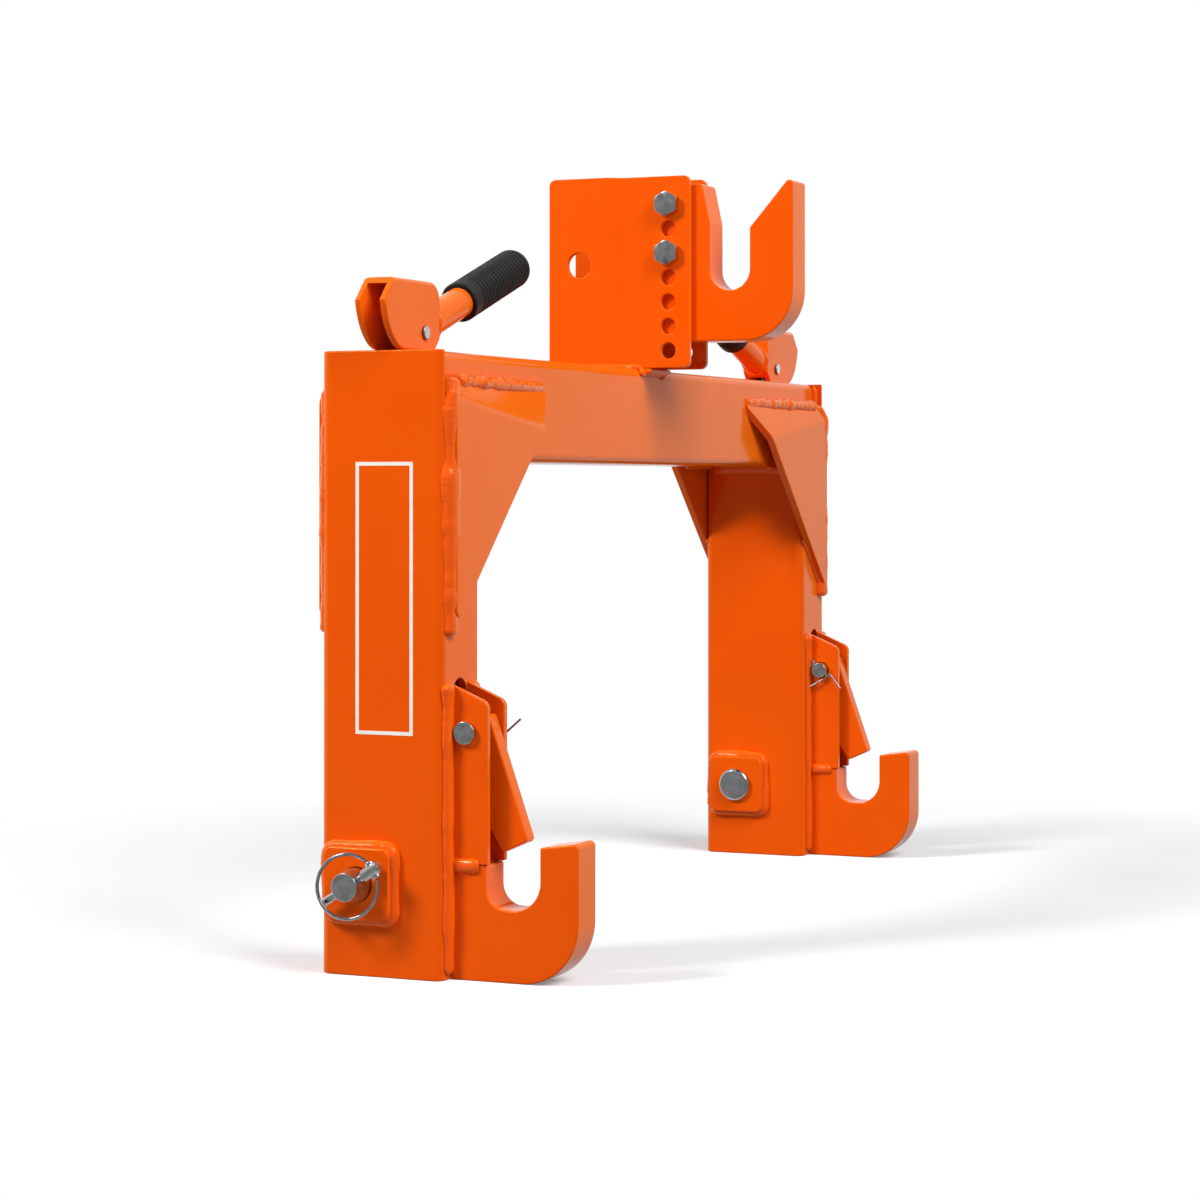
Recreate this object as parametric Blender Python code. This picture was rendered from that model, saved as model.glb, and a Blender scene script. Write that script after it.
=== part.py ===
"""Three point quick hitch: a welded A-frame coupler for a compact tractor.

Units are metres, +Z is up. X runs along the crossbar, the hooks reach towards -Y (the implement)
and the tractor is on the +Y side. The origin is the middle of the footprint, on the floor.
"""
import math

import bmesh
import bpy
from mathutils import Matrix, Vector

# Driving dimensions of the hitch
HOOK_SPACING = 0.683
FRAME_HEIGHT = 0.4027
TUBE_WALL = 0.005
PLATE_THICKNESS = 0.005
HOOK_THICKNESS = 0.028
FIT_GAP = 0.0003
CUT_OVERRUN = 0.004
EDGE_BREAK = 0.0008

# Uprights and crossbar
UPRIGHT_WIDTH = 0.0570
UPRIGHT_DEPTH = 0.0880
UPRIGHT_CORNER = 0.0070
UPRIGHT_INSET = 0.0022
CAP_THICKNESS = 0.0050
CROSSBAR_SIZE = 0.0719
CROSSBAR_CORNER = 0.0070

# Gusset plates in the upper corners
GUSSET_THICKNESS = 0.0060
GUSSET_EDGE_INSET = 0.0095
GUSSET_TOP_DROP = 0.0190
GUSSET_REACH = 0.1610
GUSSET_LENGTH = 0.1590
GUSSET_TIP_HEIGHT = 0.0050
GUSSET_CORNER = 0.0050
GUSSET_FOLD_DROP = 0.0300
GUSSET_FOLD_RADIUS = 0.0140
GUSSET_TIP_THICKNESS = 0.0010
GUSSET_SHOULDER_THICKNESS = 0.0012

# Lower link pins, their boss plates and linch pins
LINK_PIN_DIAMETER = 0.0220
LINK_PIN_HEIGHT = 0.0600
LINK_PIN_BACKSET = 0.0135
LINK_PIN_REACH = 0.0160
LINK_PIN_CHAMFER = 0.0016
LINK_HEAD_DIAMETER = 0.0270
LINK_HEAD_THICKNESS = 0.0050
BOSS_SIZE = 0.0470
BOSS_THICKNESS = 0.0080
BOSS_CORNER = 0.0060
LINCH_SHANK_DIAMETER = 0.0056
LINCH_SETBACK = 0.0076
LINCH_TILT = math.radians(33.0)
LINCH_TAIL = 0.0245
LINCH_HEAD_WIDTH = 0.0120
LINCH_HEAD_DEPTH = 0.0090
LINCH_HEAD_LENGTH = 0.0130
LINCH_HEAD_BEVEL = 0.0025
RING_RADIUS = 0.0205
RING_WIRE = 0.0024

# Lower hooks
HOOK_LENGTH = 0.0896
HOOK_TIP_HEIGHT = 0.0907
HOOK_TIP_FALL = 0.0037
HOOK_NOSE_RADIUS = 0.0395
THROAT_WIDTH = 0.0381
THROAT_OFFSET = 0.0440
THROAT_HEIGHT = 0.0650
HOOK_SHOULDER_HEIGHT = 0.0740
HOOK_SHOULDER_RADIUS = 0.0020

# Latch, its cheeks, pin and the window in the upright
CHEEK_REACH = 0.0268
CHEEK_HEIGHT = 0.1147
CHEEK_FALL = 0.0115
CHEEK_CORNER = 0.0020
LATCH_THICKNESS = 0.0184
LATCH_CLEARANCE = 0.0008
LATCH_PIN_DIAMETER = 0.0127
LATCH_PIN_RISE = 0.0840
LATCH_PIN_REACH = 0.0115
LATCH_HEAD_DIAMETER = 0.0150
LATCH_HEAD_THICKNESS = 0.0035
LATCH_PIN_TAIL = 0.0070
LATCH_TOP_RISE = 0.0110
LATCH_TOP_REACH = 0.0105
LATCH_NOSE_REACH = 0.0382
LATCH_NOSE_DROP = 0.0690
LATCH_HEEL_REACH = 0.0205
LATCH_HEEL_DROP = 0.0770
LATCH_BACK = 0.0090
LATCH_CORNER = 0.0030
TONGUE_THICKNESS = 0.0090
TONGUE_HALF_HEIGHT = 0.0050
TONGUE_OVERHANG = 0.0060
WINDOW_TOP_GAP = 0.0033
WINDOW_SILL_GAP = 0.0030
COTTER_WIRE = 0.0016
COTTER_HOLE = 0.0044
COTTER_EYE = 0.0030
COTTER_FRONT_SPREAD = {"left": 0.0232, "right": 0.0160}
COTTER_FRONT_DROP = {"left": -0.0071, "right": 0.0170}
COTTER_REAR_DROP = 0.0170
COTTER_INBOARD_LEAN = 0.0080
COTTER_SETBACK = 0.0035

# Pull rods inside the uprights
ROD_INBOARD = 0.0101
ROD_FORWARD = 0.0023
ROD_DIAMETER = 0.0100
ROD_EYE_DIAMETER = 0.0190
ROD_EYE_THICKNESS = 0.0120
ROD_FOOT_DIAMETER = 0.0080
ROD_SLOT_WIDTH = 0.0116
ROD_SLOT_LENGTH = 0.0240

# Levers: a folded channel, a tube and a ribbed grip
LEVER_PIN_DIAMETER = 0.0090
LEVER_PIN_PROUD = 0.0020
LEVER_WIDTH = 0.0224
LEVER_PLATE = 0.0040
LEVER_REST_RADIUS = 0.0122
LEVER_LIFT_PER_RADIAN = 0.0280
LEVER_SWING = math.radians(80.0)
LEVER_TOE_REACH = 0.0141
LEVER_END_REACH = 0.0222
LEVER_TOE_RISE = 0.0090
LEVER_TOP_HEIGHT = 0.0340
LEVER_SHOULDER_REACH = 0.0413
LEVER_TOP_CORNER = 0.0120
HANDLE_RISE = math.radians(19.0)
HANDLE_TUBE_DIAMETER = 0.0210
HANDLE_LENGTH = 0.1710
HANDLE_AXIS_DROP = 0.0010
GRIP_DIAMETER = 0.0275
GRIP_LENGTH = 0.0950
GRIP_RIB_COUNT = 18
GRIP_RIB_DEPTH = 0.0012
GRIP_END_WALL = 0.0060
GRIP_BLEND = 0.0060
GRIP_GROOVE_SHARE = 0.75

# Mast cheeks and the adjustable top hook, with heights above the foot of the mast
MAST_HEIGHT = 0.1430
MAST_REAR_REACH = 0.0375
MAST_FRONT_REACH = 0.0735
MAST_REAR_HALF_WIDTH = 0.0265
MAST_JOGGLE_REAR = 0.0080
MAST_JOGGLE_FRONT = 0.0224
MAST_CORNER = 0.0050
TOP_LINK_HOLE = 0.0193
TOP_LINK_BACKSET = 0.0129
TOP_LINK_RISE = 0.0777
BOLT_LINE_REACH = 0.0564
BOLT_TOP_RISE = 0.1220
BOLT_PITCH = 0.0182
BOLT_HOLE_COUNT = 7
BOLT_HOLE = 0.0120
BOLT_DIAMETER = 0.0110
BOLT_HEAD_ACROSS = 0.0170
BOLT_HEAD_HEIGHT = 0.0064
BOLT_TAIL = 0.0130
NUT_HEIGHT = 0.0085
BOLT_SPAN_PITCHES = 2
TOP_HOOK_BACK = 0.0400
TOP_HOOK_REACH = 0.1530
TOP_HOOK_TIP_RISE = 0.1368
TOP_HOOK_TIP_WIDTH = 0.0045
TOP_HOOK_BOTTOM_RISE = 0.0195
TOP_HOOK_SHOULDER = 0.0813
TOP_HOOK_NECK_RISE = 0.1075
TOP_HOOK_NOSE_RADIUS = 0.0370
TOP_THROAT_WIDTH = 0.0318
TOP_THROAT_REACH = 0.1034
TOP_THROAT_RISE = 0.0730
TOP_THROAT_RIM_RISE = 0.1030
MAST_BRACE_LENGTH = 0.0120
MAST_BRACE_HEIGHT = 0.0110

# Facets
ARC_STEP = math.radians(15.0)
ROUND_SIDES = 20
GRIP_SIDES = 16
RING_STEPS = 36
SMALL_SIDES = 12
FOLD_STEPS = 4

# Values that follow from the driving dimensions
HOOK_X = HOOK_SPACING / 2
UPRIGHT_X = HOOK_X - UPRIGHT_INSET
UPRIGHT_OUTER = UPRIGHT_X + UPRIGHT_WIDTH / 2
UPRIGHT_INNER = UPRIGHT_X - UPRIGHT_WIDTH / 2
UPRIGHT_FACE = UPRIGHT_DEPTH / 2
TUBE_TOP = FRAME_HEIGHT - CAP_THICKNESS - FIT_GAP
CROSSBAR_FACE = CROSSBAR_SIZE / 2
REAR_REACH = UPRIGHT_FACE + FIT_GAP + GUSSET_THICKNESS
UPRIGHT_Y = (TOP_HOOK_REACH - REAR_REACH) / 2
PLATE_FACE = UPRIGHT_FACE + FIT_GAP
BOSS_OUTER_FACE = UPRIGHT_OUTER + FIT_GAP + BOSS_THICKNESS
BOSS_INNER_FACE = UPRIGHT_INNER - FIT_GAP - BOSS_THICKNESS
LINK_PIN_TIP = BOSS_OUTER_FACE + LINK_PIN_REACH
LINCH_X = LINK_PIN_TIP - LINCH_SETBACK
CHEEK_INNER = LATCH_THICKNESS / 2 + LATCH_CLEARANCE
CHEEK_OUTER = CHEEK_INNER + PLATE_THICKNESS
HOOK_FRONT = UPRIGHT_FACE + HOOK_LENGTH
THROAT_REACH = UPRIGHT_FACE + THROAT_OFFSET
CHEEK_TOP = HOOK_SHOULDER_HEIGHT + CHEEK_HEIGHT
WINDOW_TOP = CHEEK_TOP + WINDOW_TOP_GAP
LATCH_PIN_HEIGHT = HOOK_SHOULDER_HEIGHT + LATCH_PIN_RISE
LATCH_PIN_Y = -(UPRIGHT_FACE + LATCH_PIN_REACH)
ROD_OFFSET = HOOK_X - ROD_INBOARD
ROD_Y = -ROD_FORWARD
LEVER_LIFT = LEVER_LIFT_PER_RADIAN * LEVER_SWING
TONGUE_ARM = ROD_Y - LATCH_PIN_Y
TONGUE_DROOP = math.atan(LEVER_LIFT / 2 / TONGUE_ARM)
ROD_FOOT_HEIGHT = LATCH_PIN_HEIGHT - TONGUE_ARM * math.tan(TONGUE_DROOP) - (
    TONGUE_HALF_HEIGHT + FIT_GAP + ROD_FOOT_DIAMETER / 2) / math.cos(TONGUE_DROOP)
LEVER_PIN_HEIGHT = FRAME_HEIGHT + FIT_GAP + LEVER_REST_RADIUS
MAST_FRONT_HALF_WIDTH = HOOK_THICKNESS / 2 + FIT_GAP + PLATE_THICKNESS
MAST_FOOT_HEIGHT = FRAME_HEIGHT + FIT_GAP

# Turning an outline from its own XY plane to where it stands
FACING_X = (math.radians(90.0), 0, math.radians(90.0))
FACING_Y = (math.radians(90.0), 0, 0)
ALONG_X = (0, math.radians(90.0), 0)
ALONG_Y = (math.radians(90.0), 0, 0)
SIDES = {"left": -1, "right": 1}

MATERIALS = {
    "orange_paint": ((0.86, 0.145, 0.004), 0.30, 0.0),
    "zinc_steel": ((0.62, 0.62, 0.60), 0.32, 1.0),
    "chrome_wire": ((0.72, 0.72, 0.71), 0.18, 1.0),
    "black_rubber": ((0.018, 0.018, 0.019), 0.62, 0.0),
}


def clear_scene():
    """Remove every object that is in the scene."""
    for obj in list(bpy.data.objects):
        bpy.data.objects.remove(obj, do_unlink=True)


def make_collection(name):
    """Return a new collection linked to the scene."""
    collection = bpy.data.collections.new(name)
    bpy.context.scene.collection.children.link(collection)
    return collection


def make_material(name):
    """Return a Principled material from the table of finishes."""
    colour, roughness, metallic = MATERIALS[name]
    material = bpy.data.materials.new(name)
    material.use_nodes = True
    shader = material.node_tree.nodes["Principled BSDF"]
    shader.inputs["Base Color"].default_value = (*colour, 1.0)
    shader.inputs["Roughness"].default_value = roughness
    shader.inputs["Metallic"].default_value = metallic
    return material


clear_scene()
PARTS = make_collection("three_point_quick_hitch")
CUTTERS = make_collection("cutters")
FINISHES = {name: make_material(name) for name in MATERIALS}


def make_empty(name, location, parent):
    """Return an empty that carries the pieces of one body."""
    empty = bpy.data.objects.new(name, None)
    PARTS.objects.link(empty)
    empty.parent = parent
    empty.location = location
    return empty


def make_object(name, mesh, finish, parent, location=(0, 0, 0), rotation=(0, 0, 0)):
    """Link a mesh as one named sub-part with its own material."""
    obj = bpy.data.objects.new(name, mesh)
    mesh.materials.clear()
    mesh.materials.append(FINISHES[finish].copy())
    PARTS.objects.link(obj)
    obj.parent = parent
    obj.location = location
    obj.rotation_euler = rotation
    return obj


def make_cutter(name, mesh, target, location=(0, 0, 0), rotation=(0, 0, 0), operation="DIFFERENCE"):
    """Combine the target with a mesh that shares the target's parent frame."""
    obj = bpy.data.objects.new(name, mesh)
    CUTTERS.objects.link(obj)
    obj.parent = target.parent
    obj.location = location
    obj.rotation_euler = rotation
    obj.hide_render = True
    obj.display_type = "WIRE"
    modifier = target.modifiers.new(name, "BOOLEAN")
    modifier.operation = operation
    modifier.solver = "EXACT"
    modifier.object = obj
    return obj


def shade(mesh):
    """Shade a round mesh smooth and keep its real edges sharp."""
    mesh.shade_smooth()
    mesh.set_sharp_from_angle(angle=math.radians(35.0))


def box_mesh(name, size, bevel=0):
    """Return a box, with bevelled edges where a width is given."""
    bm = bmesh.new()
    bmesh.ops.create_cube(bm, size=1)
    bmesh.ops.scale(bm, vec=size, verts=bm.verts)
    if bevel:
        bmesh.ops.bevel(bm, geom=bm.edges[:], offset=bevel, segments=2, profile=0.5, affect="EDGES")
    mesh = bpy.data.meshes.new(name)
    bm.to_mesh(mesh)
    bm.free()
    return mesh


def cylinder_mesh(name, diameter, length, sides=ROUND_SIDES):
    """Return a closed cylinder along Z."""
    bm = bmesh.new()
    bmesh.ops.create_cone(bm, cap_ends=True, segments=sides, radius1=diameter / 2,
                          radius2=diameter / 2, depth=length)
    mesh = bpy.data.meshes.new(name)
    bm.to_mesh(mesh)
    bm.free()
    shade(mesh)
    return mesh


def curve_to_mesh(name, curve):
    """Turn a curve into a closed mesh with its caps welded on."""
    holder = bpy.data.objects.new(name, curve)
    CUTTERS.objects.link(holder)
    graph = bpy.context.evaluated_depsgraph_get()
    mesh = bpy.data.meshes.new_from_object(holder.evaluated_get(graph))
    mesh.name = name
    bpy.data.objects.remove(holder, do_unlink=True)
    bm = bmesh.new()
    bm.from_mesh(mesh)
    bmesh.ops.remove_doubles(bm, verts=bm.verts, dist=EDGE_BREAK / 100)
    bmesh.ops.recalc_face_normals(bm, faces=bm.faces)
    bm.to_mesh(mesh)
    bm.free()
    return mesh


def fillet(corners):
    """Round the corners of an outline.

    Each corner is (x, y, radius). Radii that are too large for their sides are held to the sides.
    """
    outline = []
    count = len(corners)
    for index, (x, y, radius) in enumerate(corners):
        point = Vector((x, y))
        before = Vector(corners[index - 1][:2]) - point
        after = Vector(corners[(index + 1) % count][:2]) - point
        angle = before.angle(after)
        if not radius or math.sin(angle) < math.sin(EDGE_BREAK):
            outline.append(point)
            continue
        reach = min(radius / math.tan(angle / 2), before.length / 2, after.length / 2)
        radius = reach * math.tan(angle / 2)
        centre = point + (before.normalized() + after.normalized()).normalized() * (
            radius / math.sin(angle / 2))
        first = point + before.normalized() * reach - centre
        sweep = first.angle_signed(point + after.normalized() * reach - centre)
        steps = max(1, math.ceil(abs(sweep) / ARC_STEP))
        for step in range(steps + 1):
            turn = Matrix.Rotation(-sweep * step / steps, 2)
            outline.append(centre + turn @ first)
    tidy = []
    for point in outline:
        if not tidy or (point - tidy[-1]).length > EDGE_BREAK / 8:
            tidy.append(point)
    if (tidy[0] - tidy[-1]).length <= EDGE_BREAK / 8:
        tidy.pop()
    return tidy


def plate_mesh(name, corners, thickness, chamfer=0, inner=None):
    """Return a flat plate with the given outline, and a second outline cut out where one is given."""
    curve = bpy.data.curves.new(name, "CURVE")
    curve.dimensions = "2D"
    curve.fill_mode = "BOTH"
    for loop in [corners] + ([inner] if inner else []):
        points = fillet(loop)
        spline = curve.splines.new("POLY")
        spline.points.add(len(points) - 1)
        for place, point in zip(spline.points, points):
            place.co = (point.x, point.y, 0, 1)
        spline.use_cyclic_u = True
    curve.extrude = thickness / 2 - chamfer
    curve.bevel_depth = chamfer
    curve.bevel_resolution = 0
    curve.offset = -chamfer
    mesh = curve_to_mesh(name, curve)
    shade(mesh)
    return mesh


def wire_mesh(name, path, diameter, resolution=1):
    """Return a round wire through the points of a path, with flat ends."""
    curve = bpy.data.curves.new(name, "CURVE")
    curve.dimensions = "3D"
    curve.bevel_depth = diameter / 2
    curve.bevel_resolution = resolution
    curve.use_fill_caps = True
    spline = curve.splines.new("POLY")
    spline.points.add(len(path) - 1)
    for place, point in zip(spline.points, path):
        place.co = (*point, 1)
    mesh = curve_to_mesh(name, curve)
    shade(mesh)
    return mesh


def turned_mesh(name, profile, sides=ROUND_SIDES, closed=False):
    """Return a solid of revolution about Z from (radius, height) pairs, outer side running down."""
    bm = bmesh.new()
    verts = [bm.verts.new((radius, 0, height)) for radius, height in profile]
    for first, second in zip(verts, verts[1:]):
        bm.edges.new((first, second))
    if closed:
        bm.edges.new((verts[-1], verts[0]))
    bmesh.ops.spin(bm, geom=bm.verts[:] + bm.edges[:], cent=(0, 0, 0), axis=(0, 0, 1),
                   angle=math.tau, steps=sides, use_merge=True)
    bmesh.ops.remove_doubles(bm, verts=bm.verts, dist=EDGE_BREAK / 100)
    bmesh.ops.recalc_face_normals(bm, faces=bm.faces)
    mesh = bpy.data.meshes.new(name)
    bm.to_mesh(mesh)
    bm.free()
    shade(mesh)
    return mesh


def rectangle(width, height, radius, centre=(0, 0)):
    """Return the corners of a rounded rectangle."""
    x, y = centre
    signs = ((-1, -1), (1, -1), (1, 1), (-1, 1))
    return [(x + sx * width / 2, y + sy * height / 2, radius) for sx, sy in signs]


def build_upright(side, sign, root):
    """Rectangular tube, open at the foot, with the latch window and the link pin bore."""
    hollow = rectangle(UPRIGHT_WIDTH - 2 * TUBE_WALL, UPRIGHT_DEPTH - 2 * TUBE_WALL,
                       UPRIGHT_CORNER - TUBE_WALL)
    shell = plate_mesh("upright", rectangle(UPRIGHT_WIDTH, UPRIGHT_DEPTH, UPRIGHT_CORNER), TUBE_TOP,
                       inner=hollow)
    tube = make_object(f"{side}_upright_tube", shell, "orange_paint", root,
                       (sign * UPRIGHT_X, 0, TUBE_TOP / 2))
    bore = cylinder_mesh("bore", LINK_PIN_DIAMETER + 2 * FIT_GAP, UPRIGHT_WIDTH + 2 * CUT_OVERRUN)
    make_cutter(f"{side}_upright_bore", bore, tube,
                (sign * UPRIGHT_X, LINK_PIN_BACKSET, LINK_PIN_HEIGHT), ALONG_X)
    half = CHEEK_INNER
    sill = HOOK_SHOULDER_HEIGHT + WINDOW_SILL_GAP
    arch = [(-half, sill, 0), (half, sill, 0), (half, WINDOW_TOP, half), (-half, WINDOW_TOP, half)]
    window = plate_mesh("window", arch, TUBE_WALL + 2 * CUT_OVERRUN)
    make_cutter(f"{side}_latch_window", window, tube,
                (sign * HOOK_X, TUBE_WALL / 2 - UPRIGHT_FACE, 0), FACING_Y)
    return tube


def build_top_cap(side, sign, root):
    """Cap plate with the slot that the pull rod rises through."""
    outline = rectangle(UPRIGHT_WIDTH, UPRIGHT_DEPTH, UPRIGHT_CORNER)
    slot_x = sign * (ROD_OFFSET - UPRIGHT_X)
    slot = rectangle(ROD_SLOT_LENGTH, ROD_SLOT_WIDTH, ROD_SLOT_WIDTH / 2, (slot_x, ROD_Y))
    mesh = plate_mesh("cap", outline, CAP_THICKNESS, inner=slot)
    make_object(f"{side}_top_cap", mesh, "orange_paint", root,
                (sign * UPRIGHT_X, 0, FRAME_HEIGHT - CAP_THICKNESS / 2))


def build_crossbar(root):
    """Square tube between the uprights, level with their caps and set back from their faces."""
    inside = CROSSBAR_SIZE - 2 * TUBE_WALL
    hollow = rectangle(inside, inside, CROSSBAR_CORNER - TUBE_WALL)
    length = 2 * (UPRIGHT_INNER - FIT_GAP)
    mesh = plate_mesh("crossbar", rectangle(CROSSBAR_SIZE, CROSSBAR_SIZE, CROSSBAR_CORNER), length,
                      inner=hollow)
    make_object("crossbar_tube", mesh, "orange_paint", root,
                (0, 0, FRAME_HEIGHT - CROSSBAR_SIZE / 2), FACING_X)


def fold_plate(mesh, point, across, angle, radius, towards):
    """Fold a flat plate about a line in its own plane, over an arc of the given radius.

    The line runs through the point, square to the direction across. What lies beyond it turns
    towards the +Z (1) or -Z (-1) side of the plate.
    """
    arc = radius * angle
    bm = bmesh.new()
    bm.from_mesh(mesh)
    for step in range(FOLD_STEPS + 1):
        place = point + across * arc * (step / FOLD_STEPS - 1 / 2)
        bmesh.ops.bisect_plane(bm, geom=bm.verts[:] + bm.edges[:] + bm.faces[:],
                               dist=EDGE_BREAK / 100, plane_co=place, plane_no=across)
    for vert in bm.verts:
        reach = (vert.co - point).dot(across) + arc / 2
        if reach <= 0:
            continue
        turn = min(reach / radius, angle)
        straight = max(reach - arc, 0)
        arm = radius - towards * vert.co.z
        vert.co += across * (arm * math.sin(turn) + straight * math.cos(turn) - reach)
        vert.co.z = towards * (radius - arm * math.cos(turn) + straight * math.sin(turn))
    bm.to_mesh(mesh)
    bm.free()


def build_gusset(side, sign, face, turn, root):
    """Corner plate on the upright's face, whose top is folded back to meet the crossbar.

    The fold is tilted: the inboard tip goes back as far as the crossbar, and the outer shoulder
    only as far as the upright's face. Both are ground to a thin edge there for their welds.
    """
    outer = UPRIGHT_OUTER - GUSSET_EDGE_INSET
    inner = outer - GUSSET_REACH
    top = FRAME_HEIGHT - GUSSET_TOP_DROP
    bottom = top - GUSSET_LENGTH
    outline = [(sign * outer, top, GUSSET_CORNER), (sign * inner, top, 0),
               (sign * inner, top - GUSSET_TIP_HEIGHT, 0), (sign * outer, bottom, GUSSET_CORNER)]
    plate = plate_mesh("gusset", outline, GUSSET_THICKNESS)
    tip_lean = PLATE_FACE + GUSSET_THICKNESS - (CROSSBAR_FACE + FIT_GAP + GUSSET_TIP_THICKNESS)
    lean_share = (GUSSET_THICKNESS - GUSSET_SHOULDER_THICKNESS) / tip_lean
    slope = GUSSET_REACH / (GUSSET_LENGTH - GUSSET_TIP_HEIGHT)
    tip_run = (GUSSET_FOLD_DROP - GUSSET_TIP_HEIGHT) * slope
    outer_run = GUSSET_REACH - tip_run
    tilt = math.atan((1 - lean_share) * GUSSET_FOLD_DROP / (lean_share * tip_run + outer_run))
    tip_reach = GUSSET_FOLD_DROP * math.cos(tilt) + tip_run * math.sin(tilt)
    point = Vector((sign * (inner + tip_run), top - GUSSET_FOLD_DROP, 0))
    across = Vector((-sign * math.sin(tilt), math.cos(tilt), 0))
    fold_plate(plate, point, across, math.asin(tip_lean / tip_reach), GUSSET_FOLD_RADIUS, turn)
    middle = turn * (PLATE_FACE + GUSSET_THICKNESS / 2)
    gusset = make_object(f"{side}_gusset_{face}", plate, "orange_paint", root, (0, middle, 0), FACING_Y)
    seat = box_mesh("seat", (UPRIGHT_WIDTH + 2 * FIT_GAP, UPRIGHT_DEPTH + 2 * FIT_GAP,
                             FRAME_HEIGHT + 2 * CUT_OVERRUN))
    make_cutter(f"{side}_gusset_{face}_seat", seat, gusset, (sign * UPRIGHT_X, 0, FRAME_HEIGHT / 2))
    bed_size = CROSSBAR_SIZE + 2 * FIT_GAP
    bed = box_mesh("bed", (2 * UPRIGHT_INNER, bed_size, bed_size))
    make_cutter(f"{side}_gusset_{face}_bed", bed, gusset, (0, 0, FRAME_HEIGHT - CROSSBAR_SIZE / 2))


def build_link_pin(side, sign, root):
    """Lower link pin through both bosses, its plates and the linch pin that keeps it in."""
    place = (LINK_PIN_BACKSET, LINK_PIN_HEIGHT)
    for name, face in (("outer", UPRIGHT_OUTER + FIT_GAP + BOSS_THICKNESS / 2),
                       ("inner", UPRIGHT_INNER - FIT_GAP - BOSS_THICKNESS / 2)):
        bore = rectangle(LINK_PIN_DIAMETER + 2 * FIT_GAP, LINK_PIN_DIAMETER + 2 * FIT_GAP,
                         LINK_PIN_DIAMETER / 2 + FIT_GAP)
        plate = plate_mesh("boss", rectangle(BOSS_SIZE, BOSS_SIZE, BOSS_CORNER), BOSS_THICKNESS,
                           inner=bore)
        make_object(f"{side}_boss_{name}", plate, "orange_paint", root, (sign * face, *place), FACING_X)
    radius = LINK_PIN_DIAMETER / 2
    head = LINK_HEAD_DIAMETER / 2
    head_top = -(BOSS_INNER_FACE - FIT_GAP)
    profile = [(0, head_top + LINK_HEAD_THICKNESS), (head - LINK_PIN_CHAMFER, head_top + LINK_HEAD_THICKNESS),
               (head, head_top + LINK_HEAD_THICKNESS - LINK_PIN_CHAMFER), (head, head_top),
               (radius, head_top), (radius, -LINK_PIN_TIP + LINK_PIN_CHAMFER),
               (radius - LINK_PIN_CHAMFER, -LINK_PIN_TIP), (0, -LINK_PIN_TIP)]
    pin = make_object(f"{side}_link_pin", turned_mesh("link_pin", profile), "zinc_steel", root,
                      (0, *place), (0, -sign * ALONG_X[1], 0))
    hole = cylinder_mesh("linch_hole", LINCH_SHANK_DIAMETER + 2 * FIT_GAP, 2 * LINK_PIN_DIAMETER, SMALL_SIDES)
    lean = (math.radians(90.0) - LINCH_TILT, 0, 0)
    make_cutter(f"{side}_linch_hole", hole, pin, (sign * LINCH_X, *place), lean)
    build_linch_pin(side, sign, root, place, lean)


def build_linch_pin(side, sign, root, place, lean):
    """Linch pin: a round shank, a bevelled cast head, and the spring ring hinged on the head."""
    shank_radius = LINCH_SHANK_DIAMETER / 2
    nose = shank_radius / 2
    profile = [(0, RING_RADIUS), (shank_radius, RING_RADIUS), (shank_radius, nose - LINCH_TAIL),
               (nose, -LINCH_TAIL), (0, -LINCH_TAIL)]
    pin = make_object(f"{side}_linch_pin", turned_mesh("linch_pin", profile, SMALL_SIDES), "zinc_steel",
                      root, (sign * LINCH_X, *place), lean)
    head = box_mesh("linch_head", (LINCH_HEAD_DEPTH, LINCH_HEAD_WIDTH, LINCH_HEAD_LENGTH),
                    LINCH_HEAD_BEVEL)
    along = Matrix.Rotation(lean[0], 3, "X") @ Vector((0, 0, RING_RADIUS))
    hinge = (sign * LINCH_X, place[0] + along.y, place[1] + along.z)
    make_cutter(f"{side}_linch_head", head, pin, hinge, lean, "UNION")
    carrier = make_empty(f"{side}_ring_axis", hinge, root)
    flank = LINCH_HEAD_WIDTH / 2 + FIT_GAP
    start = math.asin((flank + RING_WIRE / 2 * flank / RING_RADIUS) / RING_RADIUS)
    tilt = math.asin((shank_radius + RING_WIRE / 2 + 2 * FIT_GAP) / (2 * RING_RADIUS))
    steps = RING_STEPS
    path = []
    for step in range(steps + 1):
        angle = start + (math.tau - 2 * start) * step / steps
        drop = RING_RADIUS * (1 - math.cos(angle))
        path.append((sign * drop * math.sin(tilt), RING_RADIUS * math.sin(angle),
                     -drop * math.cos(tilt)))
    make_object(f"{side}_linch_ring", wire_mesh("linch_ring", path, RING_WIRE), "chrome_wire", carrier,
                (0, 0, 0), lean)


def build_lower_hook(side, sign, root):
    """Flame-cut hook plate that carries one lower implement pin."""
    half = THROAT_WIDTH / 2
    front = -HOOK_FRONT
    outline = [(-PLATE_FACE, 0, 0), (front, 0, HOOK_NOSE_RADIUS), (front, HOOK_TIP_HEIGHT, EDGE_BREAK),
               (-THROAT_REACH - half, HOOK_TIP_HEIGHT - HOOK_TIP_FALL, EDGE_BREAK),
               (-THROAT_REACH - half, THROAT_HEIGHT - half, half),
               (-THROAT_REACH + half, THROAT_HEIGHT - half, half),
               (-THROAT_REACH + half, HOOK_SHOULDER_HEIGHT, HOOK_SHOULDER_RADIUS),
               (-PLATE_FACE, HOOK_SHOULDER_HEIGHT, 0)]
    mesh = plate_mesh("lower_hook", outline, HOOK_THICKNESS, EDGE_BREAK)
    make_object(f"{side}_lower_hook", mesh, "orange_paint", root, (sign * HOOK_X, 0, 0), FACING_X)


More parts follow.
